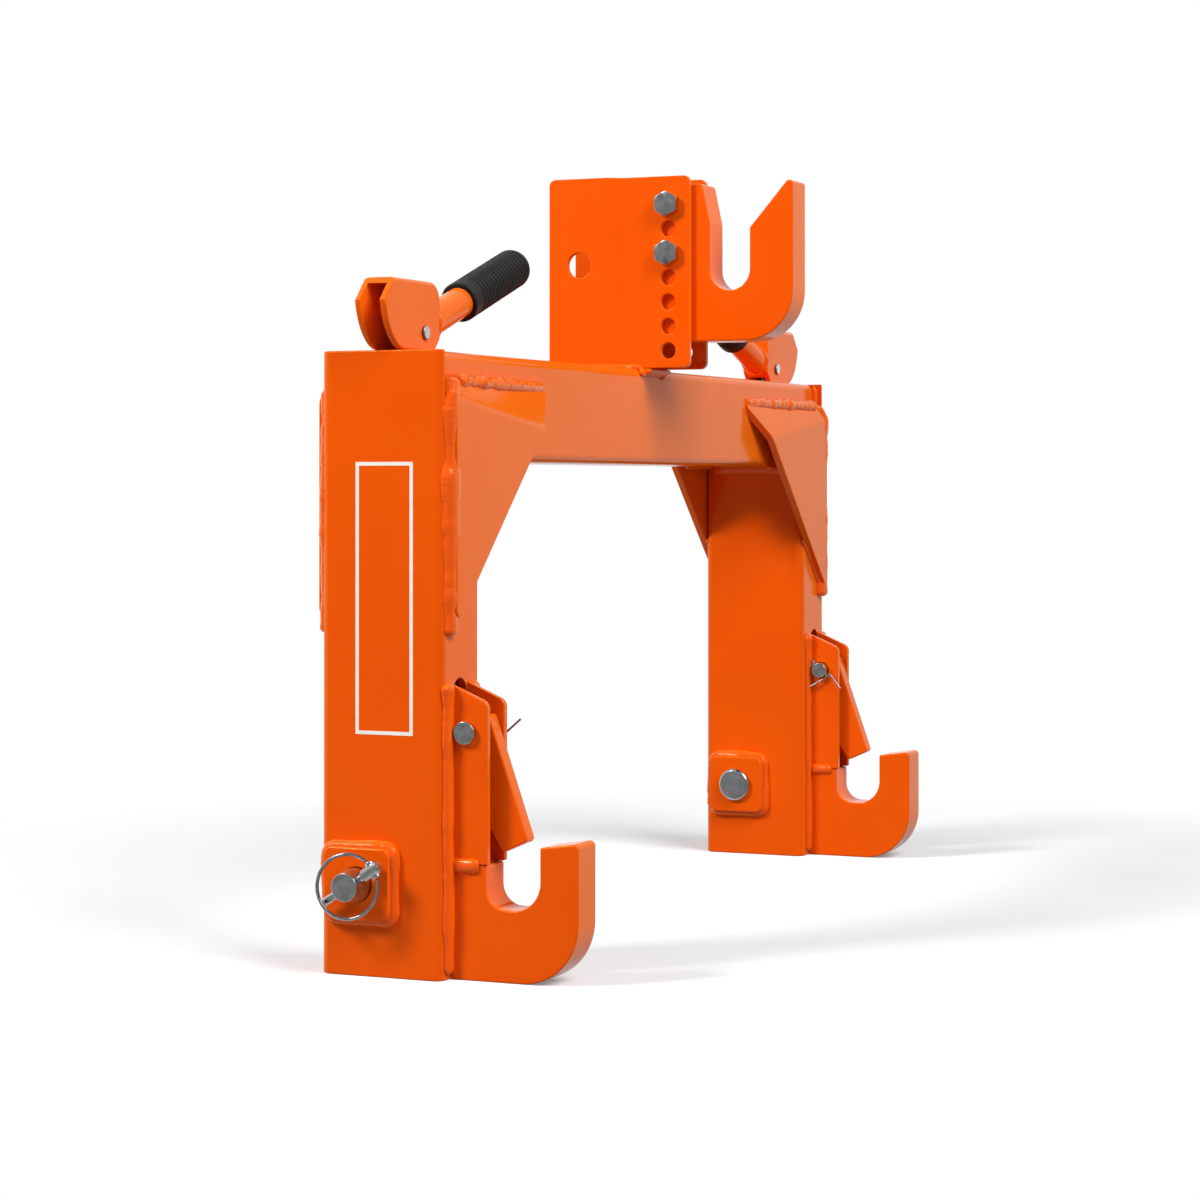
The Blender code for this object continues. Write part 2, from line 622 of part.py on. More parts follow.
def build_latch_cheeks(side, sign, root):
    """Two plates that stand on the hook and carry the latch pin."""
    foot = HOOK_SHOULDER_HEIGHT + FIT_GAP
    front = -UPRIGHT_FACE - CHEEK_REACH
    outline = [(-PLATE_FACE, foot, 0), (front, foot, 0), (front, CHEEK_TOP - CHEEK_FALL, CHEEK_CORNER),
               (-PLATE_FACE, CHEEK_TOP, 0)]
    for name, offset in (("outer", 1), ("inner", -1)):
        x = sign * (HOOK_X + offset * (CHEEK_INNER + PLATE_THICKNESS / 2))
        cheek = make_object(f"{side}_latch_cheek_{name}",
                            plate_mesh("latch_cheek", outline, PLATE_THICKNESS, EDGE_BREAK / 2),
                            "orange_paint", root, (x, 0, 0), FACING_X)
        hole = cylinder_mesh("cheek_hole", LATCH_PIN_DIAMETER + 2 * FIT_GAP,
                             PLATE_THICKNESS + 2 * CUT_OVERRUN)
        make_cutter(f"{side}_cheek_hole_{name}", hole, cheek, (x, LATCH_PIN_Y, LATCH_PIN_HEIGHT),
                    ALONG_X)


def build_latch(side, sign, root):
    """Locking plate that closes the throat, with the tongue that the pull rod lifts."""
    axis = make_empty(f"{side}_latch_axis", (sign * HOOK_X, LATCH_PIN_Y, LATCH_PIN_HEIGHT), root)
    outline = [(-LATCH_TOP_REACH, LATCH_TOP_RISE, LATCH_CORNER),
               (-LATCH_NOSE_REACH, -LATCH_NOSE_DROP, EDGE_BREAK),
               (-LATCH_HEEL_REACH, -LATCH_HEEL_DROP, EDGE_BREAK),
               (LATCH_BACK - LATCH_CORNER, -LATCH_NOSE_DROP / 2, LATCH_CORNER),
               (LATCH_BACK, LATCH_TOP_RISE, LATCH_CORNER)]
    latch = make_object(f"{side}_latch", plate_mesh("latch", outline, LATCH_THICKNESS, EDGE_BREAK),
                        "orange_paint", axis, (0, 0, 0), FACING_X)
    length = TONGUE_ARM / math.cos(TONGUE_DROOP) + TONGUE_OVERHANG
    bar = [(0, -TONGUE_HALF_HEIGHT, 0), (length, -TONGUE_HALF_HEIGHT, TONGUE_HALF_HEIGHT),
           (length, TONGUE_HALF_HEIGHT, TONGUE_HALF_HEIGHT), (0, TONGUE_HALF_HEIGHT, 0)]
    turn = Matrix.Rotation(-TONGUE_DROOP, 2)
    tongue = [(*(turn @ Vector((x, y))), radius) for x, y, radius in bar]
    shift = sign * (LATCH_THICKNESS - TONGUE_THICKNESS) / 2
    make_cutter(f"{side}_latch_tongue", plate_mesh("tongue", tongue, TONGUE_THICKNESS), latch,
                (shift, 0, 0), FACING_X, "UNION")
    hole = cylinder_mesh("latch_hole", LATCH_PIN_DIAMETER + 2 * FIT_GAP, LATCH_THICKNESS + 2 * CUT_OVERRUN)
    make_cutter(f"{side}_latch_hole", hole, latch, (0, 0, 0), ALONG_X)


def build_latch_pin(side, sign, root):
    """Headed pin through the cheeks, kept by a split pin on the inner side."""
    radius = LATCH_PIN_DIAMETER / 2
    head = LATCH_HEAD_DIAMETER / 2
    reach = CHEEK_OUTER + FIT_GAP
    tail = -(CHEEK_OUTER + LATCH_PIN_TAIL)
    profile = [(0, reach + LATCH_HEAD_THICKNESS), (head - EDGE_BREAK, reach + LATCH_HEAD_THICKNESS),
               (head, reach + LATCH_HEAD_THICKNESS - EDGE_BREAK), (head, reach), (radius, reach),
               (radius, tail + EDGE_BREAK), (radius - EDGE_BREAK, tail), (0, tail)]
    centre = (sign * HOOK_X, LATCH_PIN_Y, LATCH_PIN_HEIGHT)
    pin = make_object(f"{side}_latch_pin", turned_mesh("latch_pin", profile), "zinc_steel", root, centre,
                      (0, sign * ALONG_X[1], 0))
    cotter_x = sign * (HOOK_X + tail + COTTER_SETBACK)
    place = (cotter_x, LATCH_PIN_Y, LATCH_PIN_HEIGHT)
    hole = cylinder_mesh("cotter_hole", COTTER_HOLE, 2 * LATCH_PIN_DIAMETER, SMALL_SIDES)
    make_cutter(f"{side}_cotter_hole", hole, pin, place)
    apart = COTTER_WIRE / 2 + FIT_GAP
    throat = radius + COTTER_WIRE
    opening = math.asin(apart / COTTER_EYE)
    centre_z = throat + COTTER_EYE * math.cos(opening)
    rear_spread = LATCH_PIN_REACH - COTTER_WIRE
    knee = (0, -2 * COTTER_WIRE, -throat - COTTER_WIRE)
    path = [(0, -COTTER_FRONT_SPREAD[side], -COTTER_FRONT_DROP[side]), knee, (0, -apart, -throat),
            (0, -apart, throat)]
    for step in range(1, SMALL_SIDES):
        angle = opening + (math.tau - 2 * opening) * step / SMALL_SIDES
        path.append((0, -COTTER_EYE * math.sin(angle), centre_z - COTTER_EYE * math.cos(angle)))
    path += [(0, apart, throat), (0, apart, -throat),
             (-sign * COTTER_INBOARD_LEAN, rear_spread, -COTTER_REAR_DROP)]
    make_object(f"{side}_cotter_pin", wire_mesh("cotter", path, COTTER_WIRE), "zinc_steel", root, place)


def build_pull_rod(side, sign, root):
    """Rod in the upright that the lever raises and whose foot lifts the latch tongue."""
    carrier = make_empty(f"{side}_rod_axis", (sign * ROD_OFFSET, ROD_Y, LEVER_PIN_HEIGHT), root)
    drop = LEVER_PIN_HEIGHT - ROD_FOOT_HEIGHT
    tail = ROD_FOOT_DIAMETER
    length = drop + tail
    rod = make_object(f"{side}_pull_rod", cylinder_mesh("rod", ROD_DIAMETER, length), "zinc_steel",
                      carrier, (0, 0, -length / 2))
    eye = cylinder_mesh("rod_eye", ROD_EYE_DIAMETER, ROD_EYE_THICKNESS)
    make_cutter(f"{side}_rod_eye", eye, rod, (0, 0, 0), ALONG_Y, "UNION")
    reach = HOOK_X + LATCH_THICKNESS / 2 - ROD_OFFSET + LATCH_CLEARANCE
    foot = cylinder_mesh("rod_foot", ROD_FOOT_DIAMETER, reach, SMALL_SIDES)
    make_cutter(f"{side}_rod_foot", foot, rod, (sign * reach / 2, 0, -drop), ALONG_X, "UNION")
    bore = cylinder_mesh("rod_bore", LEVER_PIN_DIAMETER + 2 * FIT_GAP, 2 * ROD_EYE_THICKNESS)
    make_cutter(f"{side}_rod_bore", bore, rod, (0, 0, 0), ALONG_Y)
    return carrier


def lever_cam(sign):
    """Points of the cam edge: it keeps the pin's height proportional to the lever's turn."""
    points = []
    steps = math.ceil(LEVER_SWING / (ARC_STEP / 2))
    for step in range(steps + 1):
        turn = LEVER_SWING * step / steps
        height = LEVER_REST_RADIUS + LEVER_LIFT_PER_RADIAN * turn
        reach = height * math.sin(turn) + LEVER_LIFT_PER_RADIAN * math.cos(turn)
        level = LEVER_LIFT_PER_RADIAN * math.sin(turn) - height * math.cos(turn)
        points.append((-sign * -reach, level, 0))
    return points


def build_lever(side, sign, carrier):
    """Folded channel on the rod's pin, whose edges roll on the cap and raise the rod."""
    axis = make_empty(f"{side}_lever_axis", (0, 0, 0), carrier)
    inward = -sign
    cam = lever_cam(sign)
    outline = [(inward * LEVER_TOE_REACH, -LEVER_REST_RADIUS, 0)] + cam + [
        (-inward * LEVER_SHOULDER_REACH, LEVER_TOP_HEIGHT, EDGE_BREAK),
        (inward * LEVER_END_REACH, LEVER_TOP_HEIGHT, LEVER_TOP_CORNER),
        (inward * LEVER_END_REACH, LEVER_TOE_RISE - LEVER_REST_RADIUS, EDGE_BREAK)]
    channel = make_object(f"{side}_lever_channel", plate_mesh("channel", outline, LEVER_WIDTH, EDGE_BREAK),
                          "orange_paint", axis, (0, 0, 0), FACING_Y)
    open_end = inward * (LEVER_SHOULDER_REACH + LEVER_TOP_HEIGHT)
    roof = LEVER_TOP_HEIGHT - LEVER_PLATE
    wall = inward * (LEVER_END_REACH - LEVER_PLATE)
    floor = -LEVER_TOP_HEIGHT
    hollow = [(-open_end, floor, 0), (wall, floor, 0), (wall, roof, LEVER_TOP_CORNER - LEVER_PLATE),
              (-open_end, roof, 0)]
    make_cutter(f"{side}_channel_hollow", plate_mesh("hollow", hollow, LEVER_WIDTH - 2 * LEVER_PLATE),
                channel, (0, 0, 0), FACING_Y)
    bore = cylinder_mesh("lever_bore", LEVER_PIN_DIAMETER + 2 * FIT_GAP, LEVER_WIDTH + 2 * CUT_OVERRUN)
    make_cutter(f"{side}_lever_bore", bore, channel, (0, 0, 0), ALONG_Y)
    length = LEVER_WIDTH + 2 * LEVER_PIN_PROUD
    radius = LEVER_PIN_DIAMETER / 2
    profile = [(0, length / 2), (radius - EDGE_BREAK, length / 2), (radius, length / 2 - EDGE_BREAK),
               (radius, EDGE_BREAK - length / 2), (radius - EDGE_BREAK, -length / 2), (0, -length / 2)]
    make_object(f"{side}_lever_pin", turned_mesh("lever_pin", profile), "zinc_steel", axis, (0, 0, 0),
                ALONG_Y)
    build_handle(side, sign, axis)


def build_handle(side, sign, axis):
    """Handle tube welded to the channel's end wall, with its ribbed rubber grip."""
    inward = -sign
    lean = (0, inward * (math.radians(90.0) - HANDLE_RISE), 0)
    direction = Vector((inward * math.cos(HANDLE_RISE), 0, math.sin(HANDLE_RISE)))
    start = Vector((0, 0, -HANDLE_AXIS_DROP))
    tube_length = HANDLE_LENGTH - GRIP_END_WALL - FIT_GAP
    tube = make_object(f"{side}_lever_tube", cylinder_mesh("tube", HANDLE_TUBE_DIAMETER, tube_length),
                       "orange_paint", axis, start + direction * tube_length / 2, lean)
    trim = 2 * LEVER_TOP_HEIGHT
    end_wall = LEVER_END_REACH + FIT_GAP
    make_cutter(f"{side}_tube_trim", box_mesh("trim", (2 * trim, trim, 2 * trim)), tube,
                (inward * (end_wall - trim), 0, 0))
    radius = GRIP_DIAMETER / 2
    bore = HANDLE_TUBE_DIAMETER / 2 + FIT_GAP
    root = radius - GRIP_RIB_DEPTH
    profile = [(0, 0), (radius - GRIP_BLEND, 0)]
    for step in range(1, 4):
        angle = math.radians(90.0) * step / 4
        profile.append((radius - GRIP_BLEND * (1 - math.sin(angle)), -GRIP_BLEND * (1 - math.cos(angle))))
    pitch = (GRIP_LENGTH - 2 * GRIP_BLEND) / GRIP_RIB_COUNT
    for rib in range(GRIP_RIB_COUNT):
        top = -GRIP_BLEND - rib * pitch
        profile += [(radius, top), (radius, top - pitch / 2), (root, top - pitch * GRIP_GROOVE_SHARE)]
    profile += [(radius, GRIP_BLEND - GRIP_LENGTH), (radius, -GRIP_LENGTH), (bore, -GRIP_LENGTH),
                (bore, -GRIP_END_WALL), (0, -GRIP_END_WALL)]
    make_object(f"{side}_lever_grip", turned_mesh("grip", profile, GRIP_SIDES), "black_rubber", axis,
                start + direction * HANDLE_LENGTH, lean)


def bolt_heights():
    """Heights of the row of adjustment holes, top down."""
    top = MAST_FOOT_HEIGHT + BOLT_TOP_RISE
    return [top - index * BOLT_PITCH for index in range(BOLT_HOLE_COUNT)]


def build_mast_cheek(side, sign, root):
    """Joggled plate: narrow where it clamps the hook, wide where it takes the top link."""
    near = MAST_FRONT_HALF_WIDTH
    far = MAST_REAR_HALF_WIDTH
    thick = PLATE_THICKNESS
    plan = [(near, -MAST_FRONT_REACH, 0), (near, -MAST_JOGGLE_FRONT, PLATE_THICKNESS),
            (far, -MAST_JOGGLE_REAR, PLATE_THICKNESS), (far, MAST_REAR_REACH, 0),
            (far - thick, MAST_REAR_REACH, 0), (far - thick, -MAST_JOGGLE_REAR, PLATE_THICKNESS),
            (near - thick, -MAST_JOGGLE_FRONT, PLATE_THICKNESS), (near - thick, -MAST_FRONT_REACH, 0)]
    plan = [(sign * x, y, radius) for x, y, radius in plan]
    level = MAST_FOOT_HEIGHT + MAST_HEIGHT / 2
    cheek = make_object(f"{side}_mast_cheek", plate_mesh("mast_cheek", plan, MAST_HEIGHT, EDGE_BREAK / 2),
                        "orange_paint", root, (0, 0, level))
    depth = MAST_REAR_REACH + MAST_FRONT_REACH
    middle = (MAST_REAR_REACH - MAST_FRONT_REACH) / 2
    outline = plate_mesh("mast_outline", rectangle(depth, MAST_HEIGHT, MAST_CORNER),
                         2 * MAST_REAR_HALF_WIDTH)
    x = sign * MAST_REAR_HALF_WIDTH
    make_cutter(f"{side}_mast_outline", outline, cheek, (x, middle, level), FACING_X, "INTERSECT")
    reach = 2 * MAST_REAR_HALF_WIDTH
    hole = cylinder_mesh("top_link_hole", TOP_LINK_HOLE, reach)
    make_cutter(f"{side}_top_link_hole", hole, cheek,
                (x, TOP_LINK_BACKSET, MAST_FOOT_HEIGHT + TOP_LINK_RISE), ALONG_X)
    for index, level in enumerate(bolt_heights()):
        hole = cylinder_mesh("bolt_hole", BOLT_HOLE, reach)
        make_cutter(f"{side}_bolt_hole_{index}", hole, cheek, (x, -BOLT_LINE_REACH, level), ALONG_X)


def build_top_hook(root):
    """Upper hook plate, bolted between the mast cheeks at one of several heights."""
    half = TOP_THROAT_WIDTH / 2
    throat = -TOP_THROAT_REACH
    front = -TOP_HOOK_REACH
    bottom = TOP_HOOK_BOTTOM_RISE
    tip = TOP_HOOK_TIP_RISE
    root_line = TOP_THROAT_RISE - half
    outline = [(-TOP_HOOK_BACK, bottom, EDGE_BREAK), (front, bottom, TOP_HOOK_NOSE_RADIUS),
               (front, tip, EDGE_BREAK), (front + TOP_HOOK_TIP_WIDTH, tip, EDGE_BREAK),
               (throat - half, TOP_THROAT_RIM_RISE, EDGE_BREAK), (throat - half, root_line, half),
               (throat + half, root_line, half), (throat + half, TOP_HOOK_NECK_RISE, HOOK_THICKNESS),
               (-TOP_HOOK_SHOULDER, tip, EDGE_BREAK), (-TOP_HOOK_BACK, tip, EDGE_BREAK)]
    hook = make_object("top_hook", plate_mesh("top_hook", outline, HOOK_THICKNESS, EDGE_BREAK),
                       "orange_paint", root, (0, 0, MAST_FOOT_HEIGHT), FACING_X)
    for index in (0, BOLT_SPAN_PITCHES):
        hole = cylinder_mesh("hook_hole", BOLT_HOLE, HOOK_THICKNESS + 2 * CUT_OVERRUN)
        make_cutter(f"top_hook_hole_{index}", hole, hook, (0, -BOLT_LINE_REACH, bolt_heights()[index]),
                    ALONG_X)


def build_mast_bolts(root):
    """Two hex bolts through the hook with their nuts on the right-hand cheek."""
    across = BOLT_HEAD_ACROSS / math.cos(math.radians(30.0))
    seat = MAST_FRONT_HALF_WIDTH + FIT_GAP
    for name, index in (("upper", 0), ("lower", BOLT_SPAN_PITCHES)):
        place = (-BOLT_LINE_REACH, bolt_heights()[index])
        length = 2 * seat + BOLT_TAIL
        bolt = make_object(f"mast_bolt_{name}", cylinder_mesh("bolt", BOLT_DIAMETER, length), "zinc_steel",
                           root, (length / 2 - seat - FIT_GAP, *place), ALONG_X)
        head = cylinder_mesh("bolt_head", across, BOLT_HEAD_HEIGHT, 6)
        make_cutter(f"mast_bolt_head_{name}", head, bolt, (-seat - BOLT_HEAD_HEIGHT / 2, *place), ALONG_X,
                    "UNION")
        nut = make_object(f"mast_nut_{name}", cylinder_mesh("nut", across, NUT_HEIGHT, 6), "zinc_steel",
                          root, (seat + NUT_HEIGHT / 2, *place), ALONG_X)
        bore = cylinder_mesh("nut_bore", BOLT_DIAMETER + 2 * FIT_GAP, 2 * NUT_HEIGHT)
        make_cutter(f"mast_nut_bore_{name}", bore, nut, (seat + NUT_HEIGHT / 2, *place), ALONG_X)


def build_mast_brace(root):
    """Small block under the overhanging cheeks, in front of the crossbar."""
    top = MAST_FOOT_HEIGHT - FIT_GAP
    near = -(CROSSBAR_FACE + FIT_GAP)
    outline = [(near, top, 0), (near - MAST_BRACE_LENGTH, top, 0),
               (near - MAST_BRACE_LENGTH, top - MAST_BRACE_HEIGHT / 2, EDGE_BREAK),
               (near, top - MAST_BRACE_HEIGHT, 0)]
    mesh = plate_mesh("mast_brace", outline, 2 * MAST_FRONT_HALF_WIDTH, EDGE_BREAK / 2)
    make_object("mast_brace", mesh, "orange_paint", root, (0, 0, 0), FACING_X)


def build_hitch():
    """Build every sub-part of the quick hitch."""
    root = make_empty("quick_hitch_frame", (0, UPRIGHT_Y, 0), None)
    build_crossbar(root)
    for side, sign in SIDES.items():
        build_upright(side, sign, root)
        build_top_cap(side, sign, root)
        build_gusset(side, sign, "front", -1, root)
        build_gusset(side, sign, "rear", 1, root)
        build_link_pin(side, sign, root)
        build_lower_hook(side, sign, root)
        build_latch_cheeks(side, sign, root)
        build_latch(side, sign, root)
        build_latch_pin(side, sign, root)
        carrier = build_pull_rod(side, sign, root)
        build_lever(side, sign, carrier)
        build_mast_cheek(side, sign, root)
    build_top_hook(root)
    build_mast_bolts(root)
    build_mast_brace(root)
    bpy.context.view_layer.update()


build_hitch()
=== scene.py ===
"""Looks of the three point quick hitch: its welded frame, drop latches, lift levers and top hook.

Units are metres, +Z is up and the implement is towards -Y. Pieces are drawn in a local frame whose
Y is zero in the middle plane of the uprights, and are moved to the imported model's frame as they
are placed.
"""
import logging
import math
from abc import ABC, abstractmethod
from contextlib import contextmanager
from dataclasses import dataclass, field
from enum import Enum
from typing import Any, Callable, Iterable, Iterator, Mapping, Sequence

import bmesh
import bpy
from mathutils import Euler, Matrix, Vector
from mathutils.geometry import tessellate_polygon


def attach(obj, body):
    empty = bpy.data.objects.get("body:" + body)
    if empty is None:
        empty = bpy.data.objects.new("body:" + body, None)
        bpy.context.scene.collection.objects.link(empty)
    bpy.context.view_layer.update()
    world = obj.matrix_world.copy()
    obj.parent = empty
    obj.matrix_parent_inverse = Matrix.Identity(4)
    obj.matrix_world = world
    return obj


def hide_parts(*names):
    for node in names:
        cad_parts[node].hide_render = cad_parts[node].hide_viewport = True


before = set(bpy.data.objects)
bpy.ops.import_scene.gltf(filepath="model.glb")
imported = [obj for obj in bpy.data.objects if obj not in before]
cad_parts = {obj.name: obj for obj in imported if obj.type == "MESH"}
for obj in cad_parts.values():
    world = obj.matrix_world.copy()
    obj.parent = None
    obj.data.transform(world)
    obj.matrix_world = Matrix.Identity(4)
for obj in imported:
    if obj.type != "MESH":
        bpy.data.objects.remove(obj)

LOG = logging.getLogger("quick_hitch")

Corner = tuple[float, float, float]
Colour = tuple[float, float, float]
Line = Sequence[Any]

RIGHT_ANGLE = math.radians(90.0)
ARC_STEP = math.radians(6.0)
SHARP_ANGLE = math.radians(38.0)
ROUND_SIDES = 64
EDGE_ROUNDS = 3
FOLD_STEPS = 12
BEVEL_SEGMENTS = 2
NORMAL_WEIGHT = 90
WELD_DISTANCE = 0.00001
CUT_OVERRUN = 0.004
SOFT_EDGE = 0.0009


class Side(Enum):
    """The two halves of the hitch, with the sign of their X."""

    LEFT = -1
    RIGHT = 1

    @property
    def label(self) -> str:
        """Word that a piece's name begins with."""
        return self.name.lower()


class Face(Enum):
    """The two faces of the frame, with the sign of their Y."""

    FRONT = -1
    REAR = 1


class Facing(Enum):
    """How a shape that is drawn in the XY plane stands in the hitch."""

    ALONG_X = (RIGHT_ANGLE, 0.0, RIGHT_ANGLE)
    ALONG_Y = (RIGHT_ANGLE, 0.0, 0.0)
    ALONG_Z = (0.0, 0.0, 0.0)

    @property
    def matrix(self) -> Matrix:
        """Rotation from the drawing to the hitch."""
        return Euler(self.value).to_matrix().to_4x4()


class Slot(Enum):
    """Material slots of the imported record."""

    PAINT = "orange_paint"
    ZINC = "zinc_steel"
    WIRE = "chrome_wire"
    RUBBER = "black_rubber"


@dataclass(frozen=True)
class Skeleton:
    """Sizes that several sub-assemblies share."""

    middle_y: float = 0.05135
    height: float = 0.4027
    hook_x: float = 0.3415
    hook_thickness: float = 0.0280
    upright_x: float = 0.3393
    upright_width: float = 0.0570
    upright_depth: float = 0.0880
    upright_corner: float = 0.0070
    tube_wall: float = 0.0050
    crossbar_size: float = 0.0719
    crossbar_corner: float = 0.0070
    plate: float = 0.0050
    gap: float = 0.0003
    hook_shoulder: float = 0.0740
    cheek_top: float = 0.1887
    latch_pin_y: float = -0.0555
    latch_pin_z: float = 0.1580
    latch_thickness: float = 0.0184
    latch_clearance: float = 0.0008
    rod_x: float = 0.3314
    rod_y: float = -0.0023
    lever_pin_z: float = 0.4152
    link_pin_y: float = 0.0135
    link_pin_z: float = 0.0600
    link_pin_diameter: float = 0.0220
    boss_size: float = 0.0470
    boss_thickness: float = 0.0080

    @property
    def outer(self) -> float:
        """Outer face of an upright."""
        return self.upright_x + self.upright_width / 2

    @property
    def inner(self) -> float:
        """Inner face of an upright."""
        return self.upright_x - self.upright_width / 2

    @property
    def face(self) -> float:
        """Front or rear face of an upright."""
        return self.upright_depth / 2

    @property
    def crossbar_end(self) -> float:
        """End of the crossbar, at the inside of an upright's outer wall."""
        return self.outer - self.tube_wall - self.gap

    @property
    def plate_face(self) -> float:
        """Back of a plate that lies on an upright's face."""
        return self.face + self.gap

    @property
    def crossbar_face(self) -> float:
        """Front or rear face of the crossbar."""
        return self.crossbar_size / 2

    @property
    def mast_foot(self) -> float:
        """Height that the mast stands on."""
        return self.height + self.gap

    @property
    def cheek_inner(self) -> float:
        """Half the gap between a latch's cheeks."""
        return self.latch_thickness / 2 + self.latch_clearance

    @property
    def cheek_outer(self) -> float:
        """Half the width over a latch's cheeks."""
        return self.cheek_inner + self.plate


SIZES = Skeleton()


# Shader and geometry node graphs


class Number:
    """A number that a node gives out, with operators that add Math nodes."""

    def __init__(self, graph: "Graph", socket: bpy.types.NodeSocket) -> None:
        """Wrap a socket.

        Args:
            graph: The graph that the socket's node is in.
            socket: An output socket.
        """
        self.graph = graph
        self.socket = socket

    def _math(self, operation: str, *values: "Number | float") -> "Number":
        """Return the result of a Math node on the given values."""
        links = {index: value for index, value in enumerate(values)}
        return self.graph.number("ShaderNodeMath", {"operation": operation}, links)

    def __add__(self, other: "Number | float") -> "Number":
        """Return self plus other."""
        return self._math("ADD", self, other)

    __radd__ = __add__

    def __sub__(self, other: "Number | float") -> "Number":
        """Return self minus other."""
        return self._math("SUBTRACT", self, other)

    def __rsub__(self, other: "Number | float") -> "Number":
        """Return other minus self."""
        return self._math("SUBTRACT", other, self)

    def __mul__(self, other: "Number | float") -> "Number":
        """Return self times other."""
        return self._math("MULTIPLY", self, other)

    def __truediv__(self, other: "Number | float") -> "Number":
        """Return self divided by other."""
        return self._math("DIVIDE", self, other)

    def __pow__(self, other: "Number | float") -> "Number":
        """Return self raised to other."""
        return self._math("POWER", self, other)

    def sine(self) -> "Number":
        """Return the sine of an angle in radians."""
        return self._math("SINE", self)

    def least(self, other: "Number | float") -> "Number":
        """Return the smaller of two numbers."""
        return self._math("MINIMUM", self, other)

    def most(self, other: "Number | float") -> "Number":
        """Return the larger of two numbers."""
        return self._math("MAXIMUM", self, other)


class Graph:
    """A node tree that is written as Python calls."""

    def __init__(self, tree: bpy.types.NodeTree) -> None:
        """Start from an empty tree.

        Args:
            tree: A shader or geometry node tree, whose nodes are cleared.
        """
        self.tree = tree
        tree.nodes.clear()

    def node(self, kind: str, settings: Mapping[str, Any] | None = None,
             values: Mapping[str | int, Any] | None = None) -> bpy.types.Node:
        """Add one node.

        Args:
            kind: The node's type.
            settings: Attributes of the node, which are set first.
            values: Values or links of its input sockets, by name or index.

        Returns:
            The new node.
        """
        node = self.tree.nodes.new(kind)
        for name, value in (settings or {}).items():
            setattr(node, name, value)
        for key, value in (values or {}).items():
            socket = node.inputs[key]
            if isinstance(value, Number):
                value = value.socket
            if isinstance(value, bpy.types.NodeSocket):
                self.tree.links.new(value, socket)
            else:
                socket.default_value = value
        return node

    def number(self, kind: str, settings: Mapping[str, Any] | None = None,
               values: Mapping[str | int, Any] | None = None, output: str | int = 0) -> Number:
        """Add a node and return one of its outputs as a number."""
        return Number(self, self.node(kind, settings, values).outputs[output])

    def vector(self, operation: str, *values: Any, scale: Number | None = None) -> bpy.types.NodeSocket:
        """Return the result of a Vector Math node."""
        links: dict[str | int, Any] = dict(enumerate(values))
        if scale is not None:
            links["Scale"] = scale
        return self.node("ShaderNodeVectorMath", {"operation": operation}, links).outputs[0]


